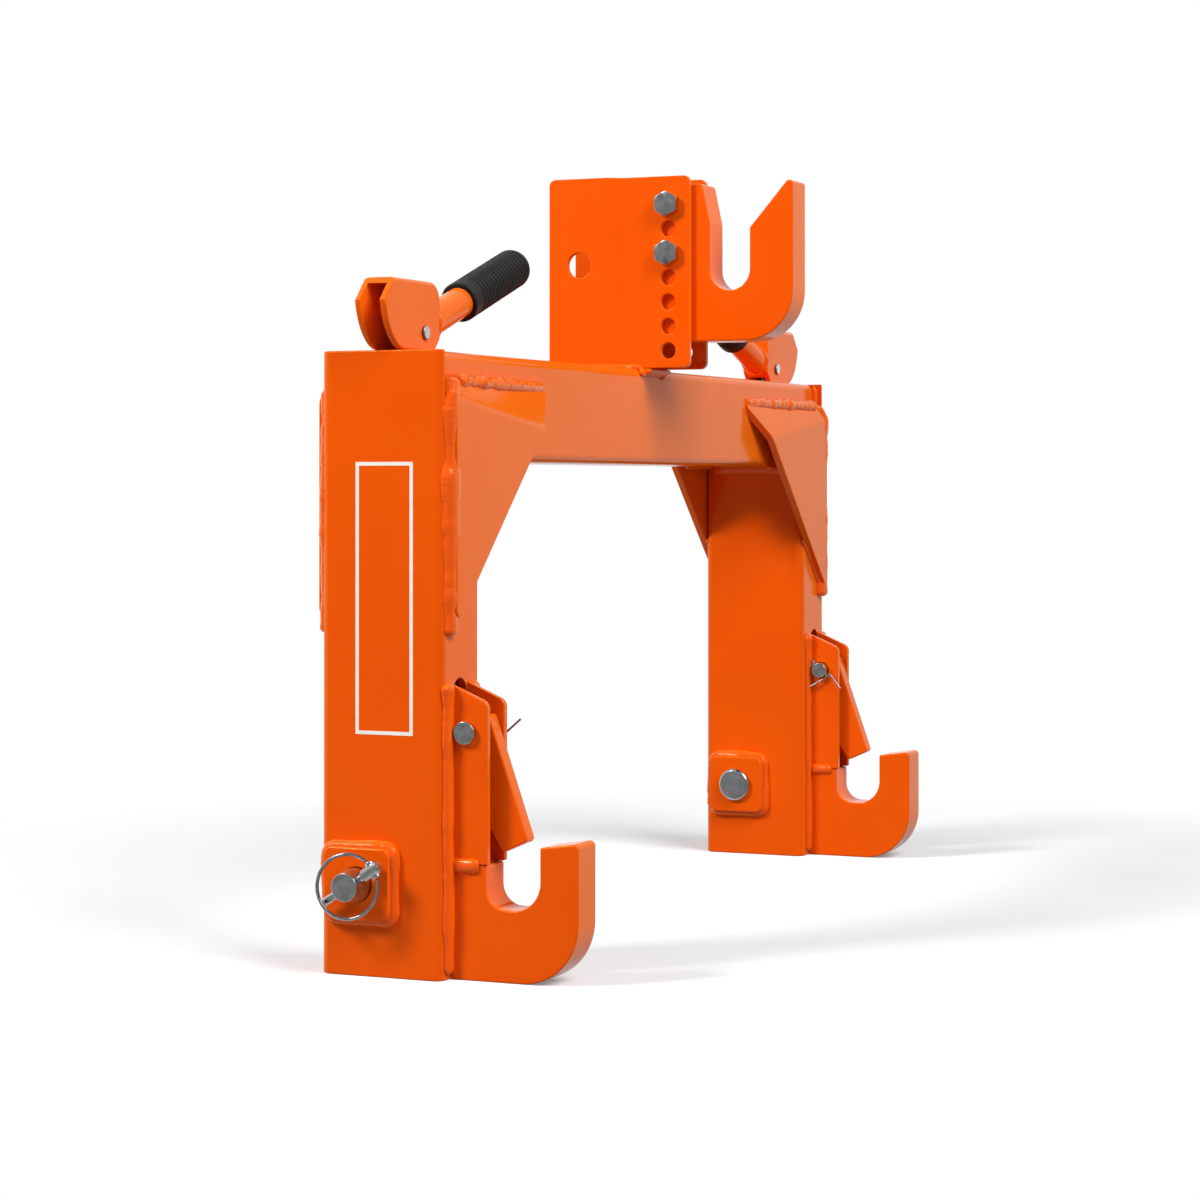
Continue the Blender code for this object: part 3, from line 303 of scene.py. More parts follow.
class Finish(ABC):
    """A surface finish that becomes one procedural material."""

    name: str
    light: Colour
    deep: Colour
    roughness: float
    gloss_change: float
    cloud_floor: float = 0.3
    cloud_gain: float = 2.5
    # rim and its span: painted reflection, a colour blended into the base where the surface turns away
    # from the view
    rim: Colour | None = None
    painted_reflection_span: tuple[float, float] = (0.0, 1.0)

    def material(self) -> bpy.types.Material:
        """Return the finish as a new material.

        Returns:
            A material with a Principled shader that the finish has dressed.
        """
        material = bpy.data.materials.new(self.name)
        material.use_nodes = True
        graph = Graph(material.node_tree)
        shader = graph.node("ShaderNodeBsdfPrincipled")
        graph.node("ShaderNodeOutputMaterial", values={"Surface": shader.outputs["BSDF"]})
        place = graph.node("ShaderNodeTexCoord").outputs["Object"]
        self.dress(graph, shader, place)
        return material

    @abstractmethod
    def dress(self, graph: Graph, shader: bpy.types.Node, place: bpy.types.NodeSocket) -> None:
        """Set the shader's constants and link what varies.

        Args:
            graph: The material's graph.
            shader: Its Principled shader.
            place: Object coordinates of the shaded point.
        """

    @staticmethod
    def grain(graph: Graph, place: bpy.types.NodeSocket, size: float, detail: float = 2.0) -> Number:
        """Return noise with features of the given size.

        Args:
            graph: The material's graph.
            place: Coordinates that the noise reads.
            size: Distance between features.
            detail: Number of finer octaves.

        Returns:
            A number that is about 0.5 on average.
        """
        return graph.number("ShaderNodeTexNoise", {"noise_dimensions": "3D"},
                            {"Vector": place, "Scale": 1.0 / size, "Detail": detail})

    @staticmethod
    def blend(graph: Graph, share: Number, first: Colour | bpy.types.NodeSocket,
              second: Colour) -> bpy.types.NodeSocket:
        """Return a colour between two others, of which the first may be a socket."""
        start = first if isinstance(first, bpy.types.NodeSocket) else (*first, 1.0)
        return graph.node("ShaderNodeMix", {"data_type": "RGBA", "clamp_factor": True},
                          {"Factor": share, 6: start, 7: (*second, 1.0)}).outputs[2]

    def tint(self, graph: Graph, shader: bpy.types.Node, cloud: Number) -> None:
        """Cloud the colour between the finish's two, and blend in its rim colour where the surface turns
        away from the view: a painted reflection.

        Args:
            graph: The material's graph.
            shader: Its Principled shader.
            cloud: Noise that is about 0.5 on average.
        """
        colour = self.blend(graph, (cloud - self.cloud_floor) * self.cloud_gain, self.deep, self.light)
        # Painted reflection: the facing ratio blends the rim colour in at grazing angles.
        if self.rim is not None:
            start, end = self.painted_reflection_span
            slant = graph.number("ShaderNodeLayerWeight", values={"Blend": 0.5}, output="Facing")
            share = ((slant - start) / (end - start)).most(0.0).least(1.0)
            colour = self.blend(graph, share, colour, self.rim)
        graph.tree.links.new(colour, shader.inputs["Base Color"])

    def gloss(self, graph: Graph, shader: bpy.types.Node, film: Number) -> None:
        """Vary the roughness with noise that is about 0.5 on average."""
        rough = (film - 0.5) * self.gloss_change + self.roughness
        graph.tree.links.new(rough.socket, shader.inputs["Roughness"])

    @staticmethod
    def emboss(graph: Graph, shader: bpy.types.Node, height: Number, strength: float,
               depth: float) -> None:
        """Feed a bump of the given depth to the shader."""
        bump = graph.node("ShaderNodeBump", values={"Strength": strength, "Distance": depth,
                                                    "Height": height})
        graph.tree.links.new(bump.outputs["Normal"], shader.inputs["Normal"])


@dataclass(frozen=True)
class PowderCoat(Finish):
    """Glossy orange powder coat with a slight orange peel."""

    name: str = "orange_powder_coat"
    light: Colour = (0.865, 0.094, 0.0006)
    deep: Colour = (0.830, 0.086, 0.0004)
    # rim: painted reflection, a paler orange at grazing angles in place of the white surroundings'
    # reflection
    rim: Colour = (0.860, 0.152, 0.0060)
    painted_reflection_span: tuple[float, float] = (0.12, 0.62)
    cloud_size: float = 0.12
    cloud_floor: float = 0.35
    cloud_gain: float = 3.0
    roughness: float = 0.16
    gloss_change: float = 0.10
    film_size: float = 0.020
    peel_size: float = 0.0018
    swell_size: float = 0.0144
    peel_depth: float = 0.00008
    peel_strength: float = 0.35
    coat: float = 0.05
    coat_roughness: float = 0.03
    specular: float = 0.12
    glint: Colour = (1.0, 0.80, 0.10)

    def dress(self, graph: Graph, shader: bpy.types.Node, place: bpy.types.NodeSocket) -> None:
        """Cloud the colour, blend in the painted reflection at grazing angles, vary the gloss and add the
        peel. The arguments are those of Finish.
        """
        self.tint(graph, shader, self.grain(graph, place, self.cloud_size))
        self.gloss(graph, shader, self.grain(graph, place, self.film_size, 3.0))
        peel = self.grain(graph, place, self.peel_size, 1.0)
        swell = self.grain(graph, place, self.swell_size, 1.0)
        self.emboss(graph, shader, peel * 0.5 + swell, self.peel_strength, self.peel_depth)
        shader.inputs["Coat Weight"].default_value = self.coat
        shader.inputs["Coat Roughness"].default_value = self.coat_roughness
        shader.inputs["Specular IOR Level"].default_value = self.specular
        shader.inputs["Specular Tint"].default_value = (*self.glint, 1.0)


@dataclass(frozen=True)
class ZincPlate(Finish):
    """Bright zinc plating over turned or forged steel."""

    name: str = "bright_zinc_plate"
    # light and deep: random mottle of the plating, both kept dark as a painted reflection of dark
    # surroundings; rim: painted reflection, bright where the surface turns away
    light: Colour = (0.175, 0.178, 0.182)
    deep: Colour = (0.115, 0.117, 0.120)
    rim: Colour = (0.72, 0.72, 0.72)
    painted_reflection_span: tuple[float, float] = (0.14, 0.75)
    roughness: float = 0.22
    gloss_change: float = 0.16
    mottle_size: float = 0.0060
    scratch_size: float = 0.0008
    scratch_depth: float = 0.00003
    scratch_strength: float = 0.3

    def dress(self, graph: Graph, shader: bpy.types.Node, place: bpy.types.NodeSocket) -> None:
        """Mottle the plating, blend in the painted reflection at its rims and add fine tool marks. The
        arguments are those of Finish.
        """
        mottle = self.grain(graph, place, self.mottle_size, 4.0)
        self.tint(graph, shader, mottle)
        self.gloss(graph, shader, mottle)
        scratch = self.grain(graph, place, self.scratch_size, 3.0)
        self.emboss(graph, shader, scratch, self.scratch_strength, self.scratch_depth)
        shader.inputs["Metallic"].default_value = 1.0


@dataclass(frozen=True)
class SpringWire(Finish):
    """Polished plated spring wire."""

    name: str = "plated_spring_wire"
    # light and deep: random mottle of the wire, both kept dark as a painted reflection of dark
    # surroundings; rim: painted reflection, bright where the surface turns away
    light: Colour = (0.16, 0.16, 0.165)
    deep: Colour = (0.10, 0.10, 0.10)
    rim: Colour = (0.70, 0.70, 0.70)
    painted_reflection_span: tuple[float, float] = (0.20, 0.90)
    roughness: float = 0.10
    gloss_change: float = 0.10
    mottle_size: float = 0.0040

    def dress(self, graph: Graph, shader: bpy.types.Node, place: bpy.types.NodeSocket) -> None:
        """Vary the polish along the wire and blend in the painted reflection at its rims. The arguments
        are those of Finish.
        """
        mottle = self.grain(graph, place, self.mottle_size, 3.0)
        self.tint(graph, shader, mottle)
        self.gloss(graph, shader, mottle)
        shader.inputs["Metallic"].default_value = 1.0


@dataclass(frozen=True)
class RibbedRubber(Finish):
    """Matte black moulded rubber."""

    name: str = "black_grip_rubber"
    light: Colour = (0.010, 0.010, 0.0105)
    deep: Colour = (0.005, 0.005, 0.0055)
    specular: float = 0.16
    roughness: float = 0.50
    gloss_change: float = 0.25
    grain_size: float = 0.0007
    grain_depth: float = 0.00010
    grain_strength: float = 0.4
    cloud_size: float = 0.012

    def dress(self, graph: Graph, shader: bpy.types.Node, place: bpy.types.NodeSocket) -> None:
        """Add the mould's grain and a dusty bloom. The arguments are those of Finish."""
        cloud = self.grain(graph, place, self.cloud_size, 3.0)
        self.tint(graph, shader, cloud)
        self.gloss(graph, shader, cloud)
        self.emboss(graph, shader, self.grain(graph, place, self.grain_size), self.grain_strength,
                    self.grain_depth)
        shader.inputs["Specular IOR Level"].default_value = self.specular


@dataclass(frozen=True)
class DecalInk(Finish):
    """Cream printed film."""

    name: str = "cream_decal_film"
    light: Colour = (0.93, 0.88, 0.80)
    deep: Colour = (0.86, 0.80, 0.71)
    roughness: float = 0.38
    gloss_change: float = 0.10
    cloud_size: float = 0.006

    def dress(self, graph: Graph, shader: bpy.types.Node, place: bpy.types.NodeSocket) -> None:
        """Vary the print a little. The arguments are those of Finish."""
        cloud = self.grain(graph, place, self.cloud_size, 3.0)
        self.tint(graph, shader, cloud)
        self.gloss(graph, shader, cloud)


@dataclass(frozen=True)
class FloorPaint:
    """Pale studio floor that keeps the shadow and fades to a white background."""

    name: str = "pale_studio_floor"
    # colour: cool grey that cancels the orange light the hitch bounces into the floor's shadow, a painted
    # correction of that shade
    colour: Colour = (0.765, 0.80, 0.81)
    bounce: Colour = (0.30, 0.30, 0.30)
    lift: float = 0.22
    fade_start: float = 0.42
    fade_width: float = 0.40

    def material(self) -> bpy.types.Material:
        """Return the floor's material.

        Returns:
            Diffuse paint that rays from the camera, mirrors and glass see lifted to white.
        """
        material = bpy.data.materials.new(self.name)
        material.use_nodes = True
        graph = Graph(material.node_tree)
        paint = graph.node("ShaderNodeBsdfDiffuse", values={"Color": (*self.colour, 1.0)})
        unseen = graph.node("ShaderNodeBsdfDiffuse", values={"Color": (*self.bounce, 1.0)})
        glow = graph.node("ShaderNodeEmission", values={"Strength": self.lift})
        white = graph.node("ShaderNodeEmission", values={"Strength": 1.0})
        lit = graph.node("ShaderNodeAddShader", values={0: paint.outputs[0], 1: glow.outputs[0]})
        place = graph.node("ShaderNodeTexCoord").outputs["Object"]
        reach = graph.number("ShaderNodeVectorMath", {"operation": "LENGTH"}, {0: place}, "Value")
        far = ((reach - self.fade_start) / self.fade_width).most(0.0).least(1.0)
        seen = graph.node("ShaderNodeMixShader", values={"Fac": far, 1: lit.outputs[0],
                                                         2: white.outputs[0]})
        final = graph.node("ShaderNodeMixShader", values={"Fac": seen_ray(graph), 1: unseen.outputs[0],
                                                          2: seen.outputs[0]})
        graph.node("ShaderNodeOutputMaterial", values={"Surface": final.outputs[0]})
        return material


def seen_ray(graph: Graph) -> Number:
    """Return 1 for rays from the camera, mirrors and glass, and 0 for the rest."""
    path = graph.node("ShaderNodeLightPath")
    found = Number(graph, path.outputs["Is Camera Ray"])
    for name in ("Is Glossy Ray", "Is Transmission Ray"):
        found = found.most(Number(graph, path.outputs[name]))
    return found


# Drawing and making meshes


def rounded(corners: Sequence[Corner]) -> list[Vector]:
    """Round the corners of an outline.

    Args:
        corners: (x, y, radius) of each corner. A radius too large for its sides is held to them.

    Returns:
        The points of the rounded outline.
    """
    outline: list[Vector] = []
    count = len(corners)
    for index, (x, y, radius) in enumerate(corners):
        point = Vector((x, y))
        before = Vector(corners[index - 1][:2]) - point
        after = Vector(corners[(index + 1) % count][:2]) - point
        angle = before.angle(after)
        if not radius or math.sin(angle) < WELD_DISTANCE:
            outline.append(point)
            continue
        reach = min(radius / math.tan(angle / 2), before.length / 2, after.length / 2)
        radius = reach * math.tan(angle / 2)
        middle = (before.normalized() + after.normalized()).normalized()
        centre = point + middle * (radius / math.sin(angle / 2))
        first = point + before.normalized() * reach - centre
        sweep = first.angle_signed(point + after.normalized() * reach - centre)
        steps = max(2, math.ceil(abs(sweep) / ARC_STEP))
        outline += [centre + Matrix.Rotation(-sweep * step / steps, 2) @ first
                    for step in range(steps + 1)]
    tidy: list[Vector] = []
    for point in outline:
        if not tidy or (point - tidy[-1]).length > WELD_DISTANCE:
            tidy.append(point)
    if (tidy[0] - tidy[-1]).length <= WELD_DISTANCE:
        tidy.pop()
    return tidy


def rectangle(width: float, height: float, radius: float = 0.0,
              centre: tuple[float, float] = (0.0, 0.0)) -> list[Corner]:
    """Return the corners of a rounded rectangle."""
    x, y = centre
    signs = ((-1, -1), (1, -1), (1, 1), (-1, 1))
    return [(x + sx * width / 2, y + sy * height / 2, radius) for sx, sy in signs]


def circle(diameter: float, centre: tuple[float, float] = (0.0, 0.0),
           sides: int = ROUND_SIDES) -> list[Vector]:
    """Return the points of a circle."""
    turns = [math.tau * side / sides for side in range(sides)]
    return [Vector(centre) + Vector((math.cos(turn), math.sin(turn))) * diameter / 2 for turn in turns]


def wound(loop: Sequence[Vector], outer: bool) -> list[Vector]:
    """Return a loop that runs with the material on its left."""
    area = sum(a.x * b.y - b.x * a.y for a, b in zip(loop, [*loop[1:], loop[0]]))
    return list(loop) if (area > 0) == outer else list(reversed(loop))


def inset(loop: Sequence[Vector], distance: float) -> list[Vector]:
    """Move each side of a loop to its left."""
    if not distance:
        return list(loop)
    moved: list[Vector] = []
    for index, point in enumerate(loop):
        before = (point - loop[index - 1]).normalized()
        after = (loop[(index + 1) % len(loop)] - point).normalized()
        first = Vector((-before.y, before.x))
        second = Vector((-after.y, after.x))
        moved.append(point + (first + second) * (distance / (1 + first.dot(second))))
    return moved


def closed_mesh(name: str, bm: bmesh.types.BMesh) -> bpy.types.Mesh:
    """Weld a shape's doubles, turn its faces outwards and return it as a mesh."""
    bmesh.ops.remove_doubles(bm, verts=bm.verts, dist=WELD_DISTANCE / 2)
    bmesh.ops.recalc_face_normals(bm, faces=bm.faces)
    mesh = bpy.data.meshes.new(name)
    bm.to_mesh(mesh)
    bm.free()
    return mesh


@contextmanager
def edited(mesh: bpy.types.Mesh) -> Iterator[bmesh.types.BMesh]:
    """Open a mesh for changes and write them back."""
    bm = bmesh.new()
    bm.from_mesh(mesh)
    yield bm
    bm.to_mesh(mesh)
    bm.free()


def plate(name: str, outline: Sequence[Vector], thickness: float, edge: float = 0.0,
          holes: Sequence[Sequence[Vector]] = ()) -> bpy.types.Mesh:
    """Make a plate with rounded edges, also round its holes.

    Args:
        name: The mesh's name.
        outline: Points of the outline, in the XY plane.
        thickness: Thickness along Z.
        edge: Radius of the edges.
        holes: Points of each hole.

    Returns:
        A closed mesh centred on the XY plane.
    """
    loops = [wound(outline, True)] + [wound(hole, False) for hole in holes]
    rounds = range(EDGE_ROUNDS + 1) if edge else (EDGE_ROUNDS,)
    turns = [RIGHT_ANGLE * step / EDGE_ROUNDS for step in rounds]
    upper = [(edge * (1 - math.sin(turn)), thickness / 2 - edge * (1 - math.cos(turn))) for turn in turns]
    levels = upper + [(shift, -height) for shift, height in reversed(upper)]
    bm = bmesh.new()
    caps: list[list[list[bmesh.types.BMVert]]] = [[], []]
    for loop in loops:
        rings = [[bm.verts.new((point.x, point.y, height)) for point in inset(loop, shift)]
                 for shift, height in levels]
        for high, low in zip(rings, rings[1:]):
            for index in range(len(loop)):
                after = (index + 1) % len(loop)
                bm.faces.new((high[index], low[index], low[after], high[after]))
        caps[0].append(rings[0])
        caps[1].append(rings[-1])
    for rings in caps:
        verts = [vert for ring in rings for vert in ring]
        for triangle in tessellate_polygon([[vert.co for vert in ring] for ring in rings]):
            bm.faces.new([verts[index] for index in triangle])
    return closed_mesh(name, bm)


def turned(name: str, profile: Sequence[Corner], sides: int = ROUND_SIDES) -> bpy.types.Mesh:
    """Make a solid of revolution about Z.

    Args:
        name: The mesh's name.
        profile: (radius, height, fillet) of each corner, from one end of the axis to the other.
        sides: Number of facets round the axis.

    Returns:
        A closed mesh.
    """
    bm = bmesh.new()
    rings: list[list[bmesh.types.BMVert]] = []
    for point in rounded(profile):
        if point.x < WELD_DISTANCE:
            rings.append([bm.verts.new((0.0, 0.0, point.y))])
            continue
        turns = [math.tau * side / sides for side in range(sides)]
        rings.append([bm.verts.new((point.x * math.cos(turn), point.x * math.sin(turn), point.y))
                      for turn in turns])
    for first, second in zip(rings, rings[1:]):
        for side in range(sides):
            after = (side + 1) % sides
            corners = [first[side % len(first)], first[after % len(first)],
                       second[after % len(second)], second[side % len(second)]]
            bm.faces.new(list(dict.fromkeys(corners)))
    return closed_mesh(name, bm)


def cylinder(name: str, diameter: float, length: float, edge: float = 0.0,
             sides: int = ROUND_SIDES) -> bpy.types.Mesh:
    """Make a cylinder along Z, centred on the origin."""
    radius = diameter / 2
    half = length / 2
    return turned(name, [(0.0, half, 0.0), (radius, half, edge), (radius, -half, edge),
                         (0.0, -half, 0.0)], sides)


def block(name: str, size: Sequence[float], bevel: float = 0.0) -> bpy.types.Mesh:
    """Make a box centred on the origin, with rounded edges where a radius is given."""
    bm = bmesh.new()
    bmesh.ops.create_cube(bm, size=1.0)
    bmesh.ops.scale(bm, vec=size, verts=bm.verts)
    if bevel:
        bmesh.ops.bevel(bm, geom=bm.edges[:], offset=bevel, segments=EDGE_ROUNDS, profile=0.5,
                        affect="EDGES")
    return closed_mesh(name, bm)


def placed(mesh: bpy.types.Mesh, location: Sequence[float], facing: Facing = Facing.ALONG_Z,
           turn: Matrix | None = None) -> bpy.types.Mesh:
    """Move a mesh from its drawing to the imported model's frame.

    Args:
        mesh: The mesh, which is changed.
        location: Where its origin goes, in the local frame.
        facing: How the drawing stands.
        turn: A rotation after that, about the location.

    Returns:
        The same mesh.
    """
    x, y, z = location
    matrix = Matrix.Translation((x, y + SIZES.middle_y, z))
    if turn is not None:
        matrix = matrix @ turn.to_4x4()
    mesh.transform(matrix @ facing.matrix)
    return mesh


def evaluated(mesh: bpy.types.Mesh, add: Callable[[bpy.types.Object], None]) -> bpy.types.Mesh:
    """Run modifiers on a mesh and return the result as a plain mesh.

    Args:
        mesh: The mesh to start from.
        add: Adds the modifiers to the object that holds it.

    Returns:
        A new mesh.
    """
    holder = bpy.data.objects.new(mesh.name, mesh)
    bpy.context.scene.collection.objects.link(holder)
    add(holder)
    graph = bpy.context.evaluated_depsgraph_get()
    result = bpy.data.meshes.new_from_object(holder.evaluated_get(graph))
    result.name = mesh.name
    bpy.data.objects.remove(holder, do_unlink=True)
    return result


def combined(mesh: bpy.types.Mesh, tools: Iterable[bpy.types.Mesh],
             operation: str = "DIFFERENCE") -> bpy.types.Mesh:
    """Cut meshes from another, or join or intersect them.

    Args:
        mesh: The mesh to change.
        tools: The meshes that cut it, in the same frame.
        operation: A Boolean modifier's operation.

    Returns:
        A new closed mesh.
    """
    for tool in tools:
        cutter = bpy.data.objects.new(tool.name, tool)
        bpy.context.scene.collection.objects.link(cutter)

        def add(holder: bpy.types.Object, cutter: bpy.types.Object = cutter) -> None:
            """Add one exact Boolean."""
            modifier = holder.modifiers.new(cutter.name, "BOOLEAN")
            modifier.solver = "EXACT"
            modifier.operation = operation
            modifier.object = cutter

        mesh = evaluated(mesh, add)
        bpy.data.objects.remove(cutter, do_unlink=True)
    return mesh


def scored(bm: bmesh.types.BMesh, places: Iterable[Vector], across: Sequence[float]) -> None:
    """Cut a plate along lines square to a direction, so that it can bend there."""
    for place in places:
        bmesh.ops.bisect_plane(bm, geom=bm.verts[:] + bm.edges[:] + bm.faces[:],
                               dist=WELD_DISTANCE / 10, plane_co=place, plane_no=across)


def folded(mesh: bpy.types.Mesh, point: Vector, across: Vector, angle: float, radius: float,
           towards: int) -> bpy.types.Mesh:
    """Fold a flat plate about a line in its own plane.

    Args:
        mesh: The plate, which is changed.
        point: A point of the line.
        across: Direction in the plate's plane, square to the line, in which the folded part lies.
        angle: Angle of the fold.
        radius: Radius of the fold, at the plate's middle.
        towards: 1 to fold towards the plate's +Z side, -1 to fold away from it.

    Returns:
        The same mesh.
    """
    arc = radius * angle
    with edited(mesh) as bm:
        scored(bm, [point + across * arc * (step / FOLD_STEPS - 1 / 2)
                    for step in range(FOLD_STEPS + 1)], across)
        for vert in bm.verts:
            reach = (vert.co - point).dot(across) + arc / 2
            if reach <= 0:
                continue
            bend = min(reach / radius, angle)
            straight = max(reach - arc, 0.0)
            arm = radius - towards * vert.co.z
            vert.co += across * (arm * math.sin(bend) + straight * math.cos(bend) - reach)
            vert.co.z = towards * (radius - arm * math.cos(bend) + straight * math.sin(bend))
    return mesh


def joggled(mesh: bpy.types.Mesh, start: float, end: float, rise: float) -> bpy.types.Mesh:
    """Shift a plate along Z by a smooth step between two places along its X.

    Args:
        mesh: The plate, which is changed.
        start: X where the step starts.
        end: X where the step ends.
        rise: Height of the step.

    Returns:
        The same mesh.
    """
    with edited(mesh) as bm:
        scored(bm, [Vector((start + (end - start) * step / FOLD_STEPS, 0.0, 0.0))
                    for step in range(FOLD_STEPS + 1)], (1.0, 0.0, 0.0))
        for vert in bm.verts:
            share = min(max((vert.co.x - start) / (end - start), 0.0), 1.0)
            vert.co.z += rise * share * share * (3 - 2 * share)
    return mesh


def smooth_path(points: Sequence[Vector], steps: int) -> list[Vector]:
    """Return a smooth path through the given points.

    Args:
        points: The points, with the path's two ends.
        steps: Number of pieces between one point and the next.

    Returns:
        The points of the path.
    """
    path: list[Vector] = []
    last = len(points) - 1
    for index in range(last):
        a = points[max(index - 1, 0)]
        b, c = points[index], points[index + 1]
        d = points[min(index + 2, last)]
        for step in range(steps):
            t = step / steps
            path.append(0.5 * ((2 * b) + (c - a) * t + (2 * a - 5 * b + 4 * c - d) * t * t
                               + (3 * b - a - 3 * c + d) * t * t * t))
    return path + [points[last]]


# Geometry Nodes


class NodeRule:
    """A Geometry Nodes tree with named inputs that turns a mesh into a finished one."""

    def __init__(self, name: str, numbers: Mapping[str, float]) -> None:
        """Start a tree.

        Args:
            name: The tree's name.
            numbers: Its named inputs and their values at first.
        """
        self.tree = bpy.data.node_groups.new(name, "GeometryNodeTree")
        self.graph = Graph(self.tree)
        face = self.tree.interface
        face.new_socket("Geometry", in_out="INPUT", socket_type="NodeSocketGeometry")
        for label, value in numbers.items():
            face.new_socket(label, in_out="INPUT", socket_type="NodeSocketFloat").default_value = value
        face.new_socket("Finish", in_out="INPUT", socket_type="NodeSocketMaterial")
        face.new_socket("Geometry", in_out="OUTPUT", socket_type="NodeSocketGeometry")
        self.inputs = self.graph.node("NodeGroupInput")

    def value(self, label: str) -> Number:
        """Return a named input."""
        return Number(self.graph, self.inputs.outputs[label])

    def line(self) -> bpy.types.NodeSocket:
        """Return the mesh's edges as a curve whose points are a step apart."""
        line = self.graph.node("GeometryNodeMeshToCurve", values={"Mesh": self.inputs.outputs["Geometry"]})
        return self.graph.node("GeometryNodeResampleCurve", {"mode": "LENGTH"}, {
            "Curve": line.outputs[0], "Length": self.value("Step")}).outputs[0]

    def ring(self, sides: int) -> bpy.types.NodeSocket:
        """Return a circle of radius 1 as a section."""
        return self.graph.node("GeometryNodeCurvePrimitiveCircle",
                               values={"Resolution": sides, "Radius": 1.0}).outputs[0]

    def bar(self, line: bpy.types.NodeSocket, section: bpy.types.NodeSocket,
            **size: Number) -> bpy.types.NodeSocket:
        """Return a section swept along a line, with closed ends and an optional Scale."""
        return self.graph.node("GeometryNodeCurveToMesh", values={
            "Curve": line, "Profile Curve": section, "Fill Caps": True, **size}).outputs[0]

    def close(self, geometry: bpy.types.NodeSocket) -> None:
        """Shade the shape smooth and end the tree in Realize Instances and Set Material."""
        smooth = self.graph.node("GeometryNodeSetShadeSmooth", values={"Geometry": geometry})
        whole = self.graph.node("GeometryNodeRealizeInstances", values={"Geometry": smooth.outputs[0]})
        dressed = self.graph.node("GeometryNodeSetMaterial", values={
            "Geometry": whole.outputs[0], "Material": self.inputs.outputs["Finish"]})
        self.graph.node("NodeGroupOutput", values={0: dressed.outputs[0]})

    def run(self, mesh: bpy.types.Mesh, finish: bpy.types.Material,
            numbers: Mapping[str, float] | None = None) -> bpy.types.Mesh:
        """Run the tree on a mesh.

        Args:
            mesh: The mesh that the tree starts from.
            finish: The material it ends with.
            numbers: Inputs that differ from their first values.

        Returns:
            A new plain mesh.
        """
        def add(holder: bpy.types.Object) -> None:
            """Add the tree and set its inputs by their identifiers."""
            modifier = holder.modifiers.new(self.tree.name, "NODES")
            modifier.node_group = self.tree
            for item in self.tree.interface.items_tree:
                if item.in_out == "INPUT" and item.name in (numbers or {}):
                    modifier[item.identifier] = numbers[item.name]
                elif item.in_out == "INPUT" and item.name == "Finish":
                    modifier[item.identifier] = finish

        return evaluated(mesh, add)


class LineRule(NodeRule):
    """A rule that sweeps a section along polylines, whose points may carry vectors."""

    VECTORS: tuple[str, ...] = ()

    def sweep(self, name: str, lines: Sequence[Line], finish: bpy.types.Material,
              **numbers: float) -> bpy.types.Mesh:
        """Sweep the section along lines of the local frame.

        Args:
            name: The mesh's name.
            lines: The points of each line, then its vectors, each one for all points or a list.
            finish: The material.
            **numbers: Values of the tree's inputs, with underscores for the spaces.

        Returns:
            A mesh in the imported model's frame.
        """
        bm = bmesh.new()
        layers = [bm.verts.layers.float_vector.new(label) for label in self.VECTORS]
        for points, *vectors in lines:
            verts = [bm.verts.new((point[0], point[1] + SIZES.middle_y, point[2])) for point in points]
            for layer, vector in zip(layers, vectors):
                each = vector if isinstance(vector, list) else [vector] * len(verts)
                for vert, value in zip(verts, each):
                    vert[layer] = value
            for first, second in zip(verts, verts[1:]):
                bm.edges.new((first, second))
        mesh = bpy.data.meshes.new(name)
        bm.to_mesh(mesh)
        bm.free()
        result = self.run(mesh, finish, {label.replace("_", " ").title(): value
                                         for label, value in numbers.items()})
        with edited(result) as bm:
            bmesh.ops.remove_doubles(bm, verts=bm.verts, dist=WELD_DISTANCE / 10)
            bmesh.ops.recalc_face_normals(bm, faces=bm.faces)
        return result


class RoundWire(LineRule):
    """A round wire with flat ends."""

    SECTION_SIDES = 14

    def __init__(self) -> None:
        """Build the tree."""
        super().__init__("round_wire", {"Step": 0.0010, "Radius": 0.0010})
        self.close(self.bar(self.line(), self.ring(self.SECTION_SIDES), Scale=self.value("Radius")))


